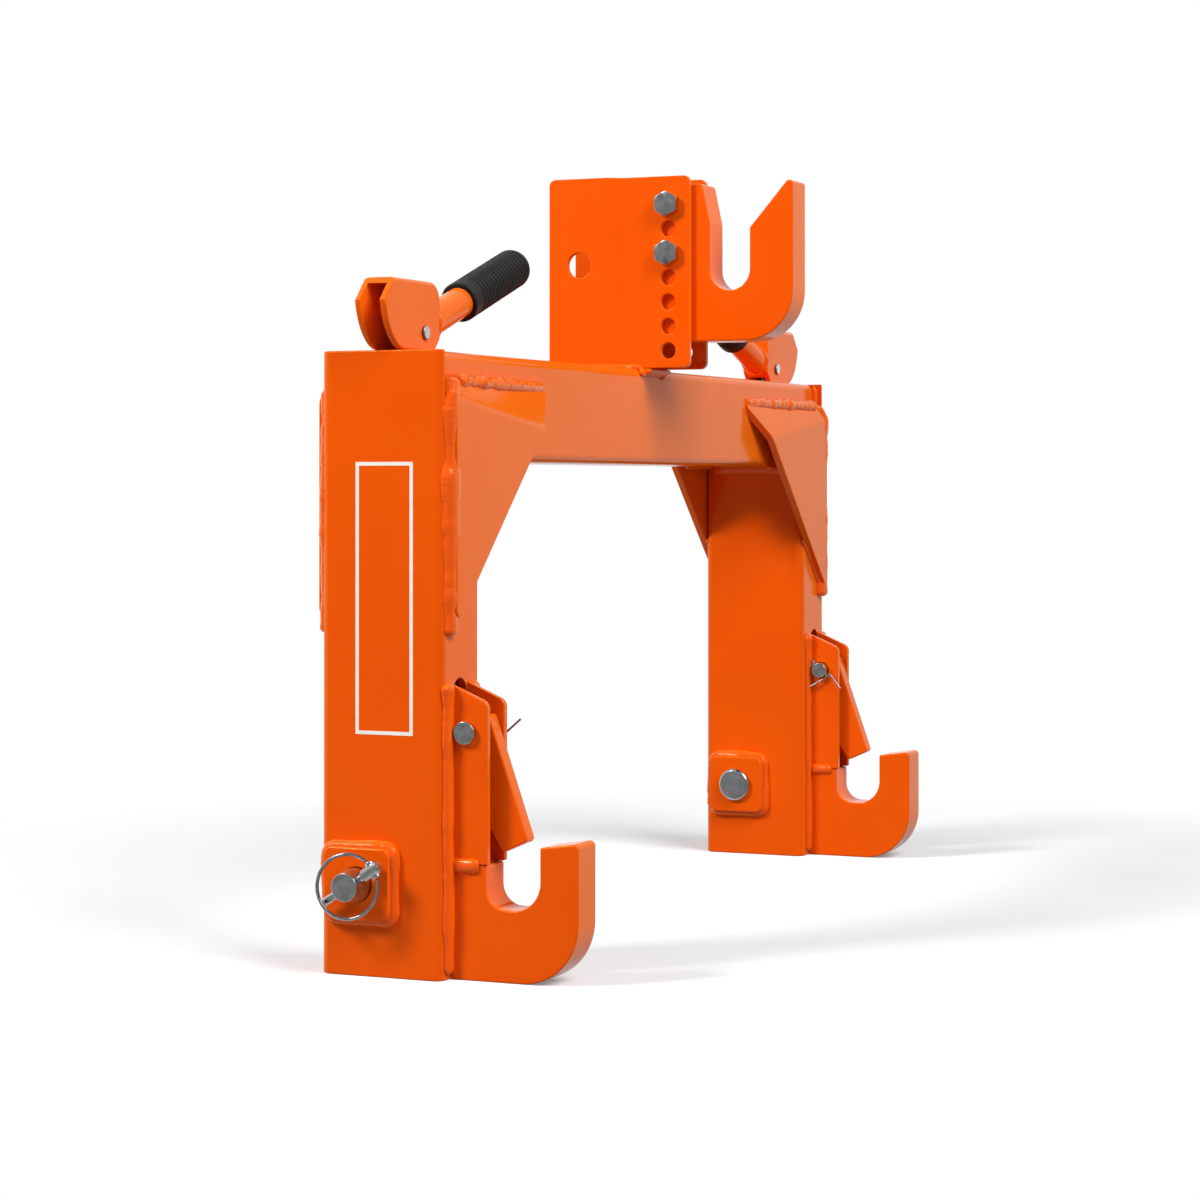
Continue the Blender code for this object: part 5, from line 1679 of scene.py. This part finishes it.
@dataclass
class LiftLever(SidedAssembly):
    """Folded cam channel with its handle tube, ribbed grip and pin."""

    pin_diameter: float = 0.0090
    pin_proud: float = 0.0020
    width: float = 0.0224
    sheet: float = 0.0040
    rest_radius: float = 0.0122
    lift_per_radian: float = 0.0280
    swing: float = math.radians(80.0)
    toe_reach: float = 0.0141
    end_reach: float = 0.0222
    toe_rise: float = 0.0090
    top_height: float = 0.0340
    shoulder_reach: float = 0.0413
    top_corner: float = 0.0140
    fold_radius: float = 0.0042
    handle_rise: float = math.radians(19.0)
    tube_diameter: float = 0.0210
    handle_length: float = 0.1710
    axis_drop: float = 0.0010
    grip_diameter: float = 0.0275
    grip_length: float = 0.0950
    grip_wall: float = 0.0060
    bead_radius: float = 0.0016
    bead_points: int = 60

    @property
    def pivot(self) -> Vector:
        """Middle of the lever's pin."""
        return Vector((self.sign * SIZES.rod_x, SIZES.rod_y, SIZES.lever_pin_z))

    @property
    def direction(self) -> Vector:
        """Direction of the handle."""
        return Vector((-self.sign * math.cos(self.handle_rise), 0.0, math.sin(self.handle_rise)))

    def build(self) -> None:
        """Make the channel, the tube, the grip, the pin and the weld round the tube."""
        self._channel()
        self._handle()
        self._pin()
        self._weld()

    def _cam(self) -> list[Corner]:
        """Return the points of the edge that rolls on the cap."""
        steps = math.ceil(self.swing / math.radians(4.0))
        points: list[Corner] = []
        for step in range(steps + 1):
            turn = self.swing * step / steps
            height = self.rest_radius + self.lift_per_radian * turn
            reach = height * math.sin(turn) + self.lift_per_radian * math.cos(turn)
            level = self.lift_per_radian * math.sin(turn) - height * math.cos(turn)
            points.append((self.sign * reach, level, 0.0))
        return points

    def _channel(self) -> None:
        """Make the folded channel, which faces outboard."""
        inward = -self.sign
        outline = rounded([(inward * self.toe_reach, -self.rest_radius, 0.0), *self._cam(),
                           (-inward * self.shoulder_reach, self.top_height, 0.0016),
                           (inward * self.end_reach, self.top_height, self.top_corner),
                           (inward * self.end_reach, self.toe_rise - self.rest_radius, 0.0016)])
        body = placed(plate("channel", outline, self.width, 0.0014), self.pivot, Facing.ALONG_Y)
        half = self.width / 2 + SIZES.gap / 3
        top = self.top_height + SIZES.gap / 3
        bend = rounded([(-half, -2 * top, 0.0), (half, -2 * top, 0.0), (half, top, self.fold_radius),
                        (-half, top, self.fold_radius)])
        fold = placed(plate("fold", bend, 6 * top), self.pivot, Facing.ALONG_X)
        body = combined(body, [fold], "INTERSECT")
        far = -inward * (self.shoulder_reach + self.top_height)
        roof = self.top_height - self.sheet
        wall = inward * (self.end_reach - self.sheet)
        floor = -self.top_height
        mouth = rounded([(far, floor, 0.0), (wall, floor, 0.0),
                         (wall, roof, self.top_corner - self.sheet), (far, roof, 0.0)])
        hollow = placed(plate("mouth", mouth, self.width - 2 * self.sheet), self.pivot, Facing.ALONG_Y)
        bore = placed(cylinder("bore", self.pin_diameter + 2 * SIZES.gap, 2 * self.width), self.pivot,
                      Facing.ALONG_Y)
        self.hand("lever_channel", "sheet", combined(body, [hollow, bore]), Slot.PAINT, "lever",
                  bevel=0.0005)

    def _handle(self) -> None:
        """Make the tube and the grip on it."""
        start = self.pivot - Vector((0.0, 0.0, self.axis_drop))
        turn = Matrix.Rotation(-self.sign * (RIGHT_ANGLE - self.handle_rise), 3, "Y")
        length = self.handle_length - self.grip_wall - SIZES.gap
        tube = placed(cylinder("tube", self.tube_diameter, length, 0.0010),
                      start + self.direction * length / 2, turn=turn)
        trim = 2 * self.top_height
        end_wall = self.end_reach + SIZES.gap
        cutter = placed(block("trim", (2 * trim, trim, 2 * trim)),
                        self.pivot + Vector((-self.sign * (end_wall - trim), 0.0, 0.0)))
        self.hand("lever_tube", "bar", combined(tube, [cutter]), Slot.PAINT, "lever")
        line = bpy.data.meshes.new("grip_line")
        foot = start + self.direction * (self.handle_length - self.grip_length)
        tip = start + self.direction * self.handle_length
        shift = Vector((0.0, SIZES.middle_y, 0.0))
        line.from_pydata([foot + shift, tip + shift], [(0, 1)], [])
        grip = self.shop.grip.run(line, self.shop.materials[Slot.RUBBER],
                                  {"Radius": self.grip_diameter / 2})
        bore_length = 2 * (self.grip_length - self.grip_wall)
        bore = placed(cylinder("grip_bore", self.tube_diameter + 2 * SIZES.gap, bore_length), foot,
                      turn=turn)
        self.hand("lever_grip", "rubber", combined(grip, [bore]), Slot.RUBBER, "lever")

    def _pin(self) -> None:
        """Make the pin, with its ends broken."""
        pin = placed(cylinder("lever_pin", self.pin_diameter, self.width + 2 * self.pin_proud, 0.0009),
                     self.pivot, Facing.ALONG_Y)
        self.hand("lever_pin", "bar", pin, Slot.ZINC, "lever")

    def _weld(self) -> None:
        """Run a small bead round the tube where it meets the channel's end wall."""
        radius = self.tube_diameter / 2 + self.bead_radius / 4
        centre = self.pivot + Vector((-self.sign * (self.end_reach + self.bead_radius / 3), 0.0,
                                      self.end_reach * math.tan(self.handle_rise) - self.axis_drop))
        rays = [Vector((0.0, math.cos(turn), math.sin(turn) / math.cos(self.handle_rise)))
                for turn in (math.tau * step / self.bead_points for step in range(self.bead_points + 3))]
        line = ([centre + ray * radius for ray in rays], [ray * self.bead_radius for ray in rays],
                Vector((self.bead_radius, 0.0, 0.0)))
        self.shop.weld(self.named("lever_weld_bead"), [line], self.named("lever"), step=0.0008,
                       lump_size=0.006, seed=11.0 + self.sign)


@dataclass
class Mast(Assembly):
    """Two joggled cheeks with the adjustable top hook bolted between them."""

    height: float = 0.1430
    rear_reach: float = 0.0375
    front_reach: float = 0.0735
    rear_half: float = 0.0265
    joggle_start: float = -0.0224
    joggle_end: float = -0.0080
    corner: float = 0.0050
    link_hole: float = 0.0193
    link_y: float = 0.0129
    link_rise: float = 0.0777
    bolt_y: float = -0.0564
    bolt_top_rise: float = 0.1220
    bolt_pitch: float = 0.0182
    bolt_holes: int = 7
    bolt_hole: float = 0.0120
    bolt_diameter: float = 0.0110
    bolt_places: tuple[tuple[str, int], ...] = (("upper", 0), ("lower", 2))
    head_across: float = 0.0170
    head_height: float = 0.0064
    bolt_tail: float = 0.0130
    nut_height: float = 0.0085
    thread_pitch: float = 0.0015
    hook_back: float = 0.0400
    hook_reach: float = 0.1530
    tip_rise: float = 0.1368
    tip_width: float = 0.0045
    bottom_rise: float = 0.0195
    tip_corner: float = 0.0024
    neck_round: float = 0.0060
    shoulder: float = 0.0813
    neck_rise: float = 0.1075
    nose_radius: float = 0.0370
    throat_width: float = 0.0318
    throat_reach: float = 0.1034
    throat_rise: float = 0.0730
    rim_rise: float = 0.1030
    brace_length: float = 0.0070
    brace_height: float = 0.0055
    root_share: float = 0.42
    flat_share: float = 0.97
    hole_sides: int = 48
    cheek_edge: float = 0.0008
    hook_edge: float = 0.0011
    butt_corner: float = 0.0012
    thread_bevel: float = 0.00025

    @property
    def front_half(self) -> float:
        """Half the width over the cheeks where they clamp the hook."""
        return SIZES.hook_thickness / 2 + SIZES.gap + SIZES.plate

    def bolt_level(self, index: int) -> float:
        """Height of a hole of the adjustment row, counted from the top."""
        return SIZES.mast_foot + self.bolt_top_rise - index * self.bolt_pitch

    def build(self) -> None:
        """Make the cheeks, the top hook, the bolts, the nuts and the brace."""
        for side in Side:
            self._cheek(side)
        self._hook()
        for word, index in self.bolt_places:
            self._bolt(word, self.bolt_level(index))
            self._nut(word, self.bolt_level(index))
        self._brace()

    def _cheek(self, side: Side) -> None:
        """Make one cheek, flat at first and then joggled."""
        s = SIZES
        depth = self.rear_reach + self.front_reach
        centre = ((self.rear_reach - self.front_reach) / 2, s.mast_foot + self.height / 2)
        outline = rounded(rectangle(depth, self.height, self.corner, centre))
        holes = [circle(self.link_hole, (self.link_y, s.mast_foot + self.link_rise))]
        holes += [circle(self.bolt_hole, (self.bolt_y, self.bolt_level(index)), self.hole_sides)
                  for index in range(self.bolt_holes)]
        sheet = plate("mast_cheek", outline, s.plate, self.cheek_edge, holes)
        rise = self.rear_half - self.front_half
        joggled(sheet, self.joggle_start, self.joggle_end, side.value * rise)
        placed(sheet, (side.value * (self.front_half - s.plate / 2), 0.0, 0.0), Facing.ALONG_X)
        node = f"{side.label}_mast_cheek"
        self.shop.add(f"{node}_plate", sheet, Slot.PAINT, "frame", [node])

    def _hook(self) -> None:
        """Make the top hook with its bolt holes."""
        s = SIZES
        half = self.throat_width / 2
        throat = -self.throat_reach
        front = -self.hook_reach
        root = self.throat_rise - half
        drawing = [(-self.hook_back, self.bottom_rise, self.butt_corner),
                   (front, self.bottom_rise, self.nose_radius),
                   (front, self.tip_rise, self.tip_corner),
                   (front + self.tip_width, self.tip_rise, self.tip_corner),
                   (throat - half, self.rim_rise, self.tip_corner), (throat - half, root, half),
                   (throat + half, root, half), (throat + half, self.neck_rise, self.neck_round),
                   (-self.shoulder, self.tip_rise, self.tip_corner),
                   (-self.hook_back, self.tip_rise, self.butt_corner)]
        outline = rounded([(y, z + s.mast_foot, radius) for y, z, radius in drawing])
        holes = [circle(self.bolt_hole, (self.bolt_y, self.bolt_level(index)), self.hole_sides)
                 for _, index in self.bolt_places]
        hook = placed(plate("top_hook", outline, s.hook_thickness, self.hook_edge, holes),
                      (0.0, 0.0, 0.0), Facing.ALONG_X)
        self.shop.add("top_hook_plate", hook, Slot.PAINT, "frame", ["top_hook"])

    def _hexagon(self, name: str, height: float, crown: bool, base: bool) -> bpy.types.Mesh:
        """Return a hexagonal prism along Z, with the corners of its ends turned down."""
        across = self.head_across
        corner = across / math.cos(math.radians(30.0))
        prism = plate(name, circle(corner, sides=6), height)
        flat = across / 2 * self.flat_share
        steep = math.tan(math.radians(30.0))
        fall = (corner / 2 - flat) * steep
        wide = corner / 2 + SOFT_EDGE
        slope = (wide - flat) * steep
        top = [(0.0, height / 2, 0.0), (flat, height / 2, 0.0), (wide, height / 2 - slope, 0.0)]
        top = top if crown else [(0.0, height / 2 + fall, 0.0), (wide, height / 2 + fall, 0.0)]
        bottom = [(wide, slope - height / 2, 0.0), (flat, -height / 2, 0.0), (0.0, -height / 2, 0.0)]
        bottom = bottom if base else [(wide, -height / 2 - fall, 0.0), (0.0, -height / 2 - fall, 0.0)]
        return combined(prism, [turned("cone", top + bottom)], "INTERSECT")

    def _bolt(self, word: str, level: float) -> None:
        """Make one bolt, whose head is on the left cheek and whose threads stand out on the right."""
        seat = self.front_half + SIZES.gap
        radius = self.bolt_diameter / 2
        end = seat + self.bolt_tail
        root = radius - self.thread_pitch * self.root_share
        profile: list[Corner] = [(0.0, -seat - self.head_height / 2, 0.0),
                                 (radius, -seat - self.head_height / 2, 0.0)]
        thread = seat
        while thread + self.thread_pitch < end - self.thread_pitch:
            profile += [(radius, thread, 0.0), (root, thread + self.thread_pitch / 2, 0.0)]
            thread += self.thread_pitch
        profile += [(radius, thread, 0.0), (radius, end - self.thread_pitch, 0.0),
                    (root, end, 0.0), (0.0, end, 0.0)]
        shank = turned("bolt", profile)
        shank.transform(Matrix.Rotation(RIGHT_ANGLE, 4, "Y"))
        placed(shank, (0.0, self.bolt_y, level))
        head = self._hexagon("bolt_head", self.head_height, True, False)
        head.transform(Matrix.Rotation(-RIGHT_ANGLE, 4, "Y"))
        placed(head, (-seat - self.head_height / 2, self.bolt_y, level))
        self.shop.add(f"mast_bolt_{word}_hex", combined(head, [shank], "UNION"), Slot.ZINC, "frame",
                      [f"mast_bolt_{word}"], bevel=self.thread_bevel)

    def _nut(self, word: str, level: float) -> None:
        """Make one nut, which lies on the right cheek."""
        seat = self.front_half + SIZES.gap
        nut = self._hexagon("nut", self.nut_height, True, True)
        nut.transform(Matrix.Rotation(RIGHT_ANGLE, 4, "Y"))
        placed(nut, (seat + self.nut_height / 2, self.bolt_y, level))
        bore = placed(cylinder("nut_bore", self.bolt_diameter + 2 * SIZES.gap, 2 * self.nut_height),
                      (seat + self.nut_height / 2, self.bolt_y, level), Facing.ALONG_X)
        self.shop.add(f"mast_nut_{word}_hex", combined(nut, [bore]), Slot.ZINC, "frame",
                      [f"mast_nut_{word}"], bevel=self.thread_bevel)

    def _brace(self) -> None:
        """Make the small block under the cheeks, in front of the crossbar."""
        top = SIZES.mast_foot - SIZES.gap
        near = -(SIZES.crossbar_face + SIZES.gap)
        far = near - self.brace_length
        outline = rounded([(near, top, 0.0), (far, top, 0.0010),
                           (far, top - self.brace_height / 2, 0.0010),
                           (near, top - self.brace_height, 0.0)])
        brace = placed(plate("brace", outline, 2 * self.front_half, 0.0009), (0.0, 0.0, 0.0),
                       Facing.ALONG_X)
        self.shop.add("mast_brace_block", brace, Slot.PAINT, "frame", ["mast_brace"])


@dataclass
class WeldBeads(SidedAssembly):
    """The welds of one side of the frame, painted over with it."""

    edge_width: float = 0.0080
    edge_height: Mapping[int, float] = field(default_factory=lambda: {-1: 0.0060, 1: 0.0056})
    edge_shift: Mapping[int, float] = field(default_factory=lambda: {-1: 0.0002, 1: -0.0014})
    edge_x: float = 0.3566
    edge_levels: tuple[float, ...] = (0.2190, 0.2250, 0.3000, 0.3640)
    bend_centre: tuple[float, float] = (0.3423, 0.3677)
    bend_radius: float = 0.0157
    bends: tuple[Corner, ...] = ((0.4, 0.0440, 0.0052), (0.9, 0.0428, 0.0046), (1.3, 0.0416, 0.0039))
    toe: tuple[tuple[float, float], ...] = ((0.3585, 0.2245), (0.3340, 0.2480), (0.3118, 0.2692))
    under: Corner = (0.0366, 0.3306, 0.0018)
    under_run: tuple[float, float] = (0.3060, 0.2480)
    top_level: float = 0.3830
    top_rows: tuple[tuple[float, ...], ...] = (
        (0.3450, 0.0412, 0.0062, 0.0044), (0.3108, 0.0408, 0.0062, 0.0044),
        (0.2560, 0.0390, 0.0050, 0.0042), (0.1985, 0.0364, 0.0026, 0.0036))
    wall_half: float = 0.0030
    boss_half: float = 0.0044
    boss_proud: float = 0.0008
    hook_width: float = 0.0060
    hook_height: float = 0.0030
    seam_y: float = -0.0446
    foot_half: float = 0.0050
    foot_run: tuple[float, float] = (-0.0447, -0.0650)

    def build(self) -> None:
        """Run the beads of the side."""
        groups = {"crossbar": self._crossbar(), "front_gusset": self._gusset(-1),
                  "rear_gusset": self._gusset(1), "boss": self._bosses(), "hook": self._hook()}
        for index, (word, lines) in enumerate(groups.items()):
            self.shop.weld(self.named(f"{word}_weld_beads"), lines, "frame",
                           seed=3.0 * index + self.sign)
        for face in Face:
            self.shop.weld(self.named(f"{face.name.lower()}_gusset_top_weld_bead"),
                           self._gusset_top(face.value), "frame", seed=20.0 + self.sign + face.value,
                           lump_size=0.011, lump_depth=0.50, crust_size=0.0042, crust_depth=0.28)

    def _at(self, x: float, y: float, z: float) -> Vector:
        """Return a point or a vector of this side."""
        return Vector((self.sign * x, y, z))

    def _crossbar(self) -> list[Line]:
        """Weld the crossbar's end into the upright."""
        s = SIZES
        half = self.wall_half
        wall = s.crossbar_end - half / 3
        face = s.crossbar_face + half / 3
        low = s.height - s.crossbar_size - half / 3
        lines: list[Line] = [
            ([self._at(s.crossbar_end + half / 2, y, s.height - half / 2) for y in (-0.041, 0.0, 0.041)],
             self._at(half, 0.0, 0.0), self._at(0.0, 0.0, half / 4)),
            ([self._at(s.inner, y, low) for y in (-face, 0.0, face)],
             self._at(1.5 * half, 0.0, 0.0), self._at(0.0, 0.0, 1.5 * half))]
        for y in (-face, face):
            lines.append(([self._at(wall, y, z) for z in (0.3840, 0.4012)], self._at(half, 0.0, 0.0),
                          self._at(0.0, half, 0.0)))
        return lines

    def _gusset(self, face: int) -> list[Line]:
        """Weld one gusset's outer edge, its rounded corner, its toe and its lower edge."""
        back = SIZES.face + self.edge_shift[face]
        height = self._at(0.0, self.edge_height[face], 0.0)
        points = [self._at(self.edge_x, face * back, z) for z in self.edge_levels]
        widths = [self._at(self.edge_width, 0.0, 0.0)] * len(points)
        corner_x, corner_z = self.bend_centre
        for turn, y, across in self.bends:
            points.append(self._at(corner_x + self.bend_radius * math.cos(turn), face * y,
                                   corner_z + self.bend_radius * math.sin(turn)))
            widths.append(self._at(across * math.cos(turn), 0.0, across * math.sin(turn)))
        toe = [self._at(x, face * back, z) for x, z in self.toe]
        y, z, half = self.under
        under = [self._at(x, face * y, z) for x in self.under_run]
        return [(points, widths, height),
                (toe, self._at(-0.0014, 0.0, -0.0014), self._at(0.0, 0.0021, 0.0)),
                (under, self._at(0.0, 0.0, half), self._at(0.0, half, 0.0))]

    def _gusset_top(self, face: int) -> list[Line]:
        """Weld one gusset's top to the crossbar, where it fills the gap behind the plate."""
        return [([self._at(x, face * y, self.top_level) for x, y, _, _ in self.top_rows],
                 [self._at(0.0, 0.0, across) for *_, across in self.top_rows],
                 [self._at(0.0, height, 0.0) for _, _, height, _ in self.top_rows])]

    def _bosses(self) -> list[Line]:
        """Weld round the two boss plates."""
        s = SIZES
        loop = rounded(rectangle(s.boss_size, s.boss_size, 0.0064))
        turn = int(len(loop) * 0.4)
        loop = loop[turn:] + loop[:turn + 2]
        widths = []
        for index, point in enumerate(loop):
            ahead = loop[min(index + 1, len(loop) - 1)] - loop[max(index - 1, 0)]
            ahead = ahead.normalized() * self.boss_half
            widths.append(Vector((0.0, ahead.y, -ahead.x)))
        return [([self._at(x, s.link_pin_y + p.x, s.link_pin_z + p.y) for p in loop], widths,
                 self._at(self.boss_half + 0.0006, 0.0, 0.0))
                for x in (s.outer + self.boss_proud, s.inner - self.boss_proud)]

    def _hook(self) -> list[Line]:
        """Weld the hook and its cheeks to the upright, and the cheeks to the hook."""
        s = SIZES
        lines: list[Line] = []
        for offset in (-1, 1):
            def at(across: float, y: float, z: float, offset: int = offset) -> Vector:
                """Return a point beside the hook."""
                return self._at(s.hook_x + offset * across, y, z)
            seat = s.cheek_outer + 0.0028
            levels = (0.0035, 0.0700, 0.0790, s.cheek_top - 0.0140, s.cheek_top - 0.0050,
                      s.cheek_top + 0.0006)
            shifts = (-0.0010, -0.0010, 0.0, 0.0, 0.0, 0.0)
            grow = (0.92, 1.0, 1.0, 1.0, 1.22, 1.12)
            seam = [at(seat + shift, self.seam_y, z) for z, shift in zip(levels, shifts)]
            foot = [at(s.cheek_outer - 0.0014, y, s.hook_shoulder - 0.0006) for y in self.foot_run]
            lines += [(seam, [self._at(self.hook_width * k, 0.0, 0.0) for k in grow],
                       [self._at(0.0, self.hook_height * k, 0.0) for k in grow]),
                      (foot, self._at(0.0040, 0.0, 0.0), self._at(0.0, 0.0, self.foot_half))]
        return lines


@dataclass
class MastBeads(Assembly):
    """The welds at the foot of the mast."""

    half: float = 0.0027
    front_half: float = 0.0193
    rear_half: float = 0.0265
    drip_end: Mapping[Side, float] = field(
        default_factory=lambda: {Side.LEFT: 0.3968, Side.RIGHT: 0.3955})

    def build(self) -> None:
        """Run the beads of the mast."""
        foot = SIZES.mast_foot
        lines: list[Line] = []
        for side in Side:
            run = [(self.front_half, -0.0355), (self.front_half, -0.0224), (self.rear_half, -0.0080),
                   (self.rear_half, 0.0340)]
            path = [Vector((side.value * (x + 0.0007), y, foot + 0.0003)) for x, y in run]
            lines.append((path, Vector((self.half, 0.0, 0.0)), Vector((0.0, 0.0, self.half))))
            drip = [Vector((side.value * (self.front_half + shift), y, z)) for shift, y, z in
                    ((0.0002, -0.0350, foot + 0.0008), (0.0010, -0.0366, foot - 0.0026),
                     (0.0014, -0.0370, self.drip_end[side]))]
            lines.append((drip, Vector((0.0038, 0.0, 0.0)), Vector((0.0, 0.0022, 0.0))))
        self.shop.weld("mast_weld_beads", lines, "frame", seed=9.0, lump_size=0.009)


@dataclass
class DecalFrame(SidedAssembly):
    """Plain printed outline on the upright's outer face, with nothing inside it."""

    width: float = 0.0414
    height: float = 0.1751
    line: float = 0.0024
    centre_y: float = -0.0028
    centre_z: float = 0.24325
    film: float = 0.0002

    def build(self) -> None:
        """Make the outline as a thin film."""
        outline = rounded(rectangle(self.width, self.height, 0.0004))
        hole = rounded(rectangle(self.width - 2 * self.line, self.height - 2 * self.line, 0.0002))
        film = plate("decal", outline, self.film, holes=[hole])
        placed(film, (self.sign * SIZES.outer, self.centre_y, self.centre_z), Facing.ALONG_X)
        self.shop.add(self.named("decal_outline"), film, None, "frame")


@dataclass
class Studio:
    """Camera, lamps, world and floor."""

    camera_at: tuple[float, float, float] = (-2.02125, -0.82701, 0.31683)
    camera_turn: tuple[float, float, float] = (math.radians(90.32), 0.0, math.radians(-66.54))
    lens: float = 87.24
    sensor: float = 36.0
    shift: tuple[float, float] = (-0.0084, -0.1105)
    aim: tuple[float, float, float] = (0.0, 0.0, 0.25)
    ambient: float = 0.12
    floor_size: float = 16.0

    def build(self) -> None:
        """Set the stage."""
        self._camera()
        self._world()
        self._lamp("key", (-1.90, 1.50, 1.90), 70.0, 0.7)
        self._lamp("fill", (-0.90, -2.20, 2.40), 101.0, 1.8)
        self._floor()
        bpy.context.scene.view_settings.view_transform = "Standard"

    def _camera(self) -> None:
        """Put the camera where the photograph was taken."""
        data = bpy.data.cameras.new("camera")
        data.lens = self.lens
        data.sensor_width = self.sensor
        data.shift_x, data.shift_y = self.shift
        data.clip_start = 0.05
        camera = bpy.data.objects.new("camera", data)
        camera.location = self.camera_at
        camera.rotation_euler = self.camera_turn
        bpy.context.scene.collection.objects.link(camera)
        bpy.context.scene.camera = camera

    def _world(self) -> None:
        """Light the stage evenly, and show white behind it."""
        world = bpy.data.worlds.new("studio")
        world.use_nodes = True
        graph = Graph(world.node_tree)
        strength = seen_ray(graph) * (1.0 - self.ambient) + self.ambient
        sky = graph.node("ShaderNodeBackground", values={"Color": (1.0, 1.0, 1.0, 1.0),
                                                         "Strength": strength})
        graph.node("ShaderNodeOutputWorld", values={"Surface": sky.outputs[0]})
        bpy.context.scene.world = world

    def _lamp(self, name: str, place: tuple[float, float, float], power: float, size: float) -> None:
        """Hang a square lamp that points at the hitch."""
        data = bpy.data.lights.new(name, "AREA")
        data.energy = power
        data.size = size
        lamp = bpy.data.objects.new(name, data)
        lamp.location = place
        aim = Vector(self.aim) - Vector(place)
        lamp.rotation_euler = aim.to_track_quat("-Z", "Y").to_euler()
        bpy.context.scene.collection.objects.link(lamp)

    def _floor(self) -> None:
        """Lay the floor that the hitch stands on."""
        mesh = bpy.data.meshes.new("studio_floor")
        half = self.floor_size / 2
        corners = [(-half, -half, 0.0), (half, -half, 0.0), (half, half, 0.0), (-half, half, 0.0)]
        mesh.from_pydata(corners, [], [(0, 1, 2, 3)])
        mesh.materials.append(FloorPaint().material())
        floor = bpy.data.objects.new("studio_floor", mesh)
        bpy.context.scene.collection.objects.link(floor)


def main() -> None:
    """Build the studio and every sub-assembly."""
    logging.basicConfig(level=logging.INFO, format="%(name)s %(message)s")
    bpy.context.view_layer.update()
    shop = Shop()
    Studio().build()
    assemblies: list[Assembly] = [Crossbar(shop), Mast(shop), MastBeads(shop)]
    for side in Side:
        assemblies += [Upright(shop, side), *(Gusset(shop, side, face) for face in Face),
                       LinkPin(shop, side), LowerHook(shop, side), Latch(shop, side),
                       PullRod(shop, side), LiftLever(shop, side), WeldBeads(shop, side),
                       DecalFrame(shop, side)]
    for assembly in assemblies:
        LOG.info("building %s", type(assembly).__name__)
        assembly.build()


if __name__ == "__main__":
    main()
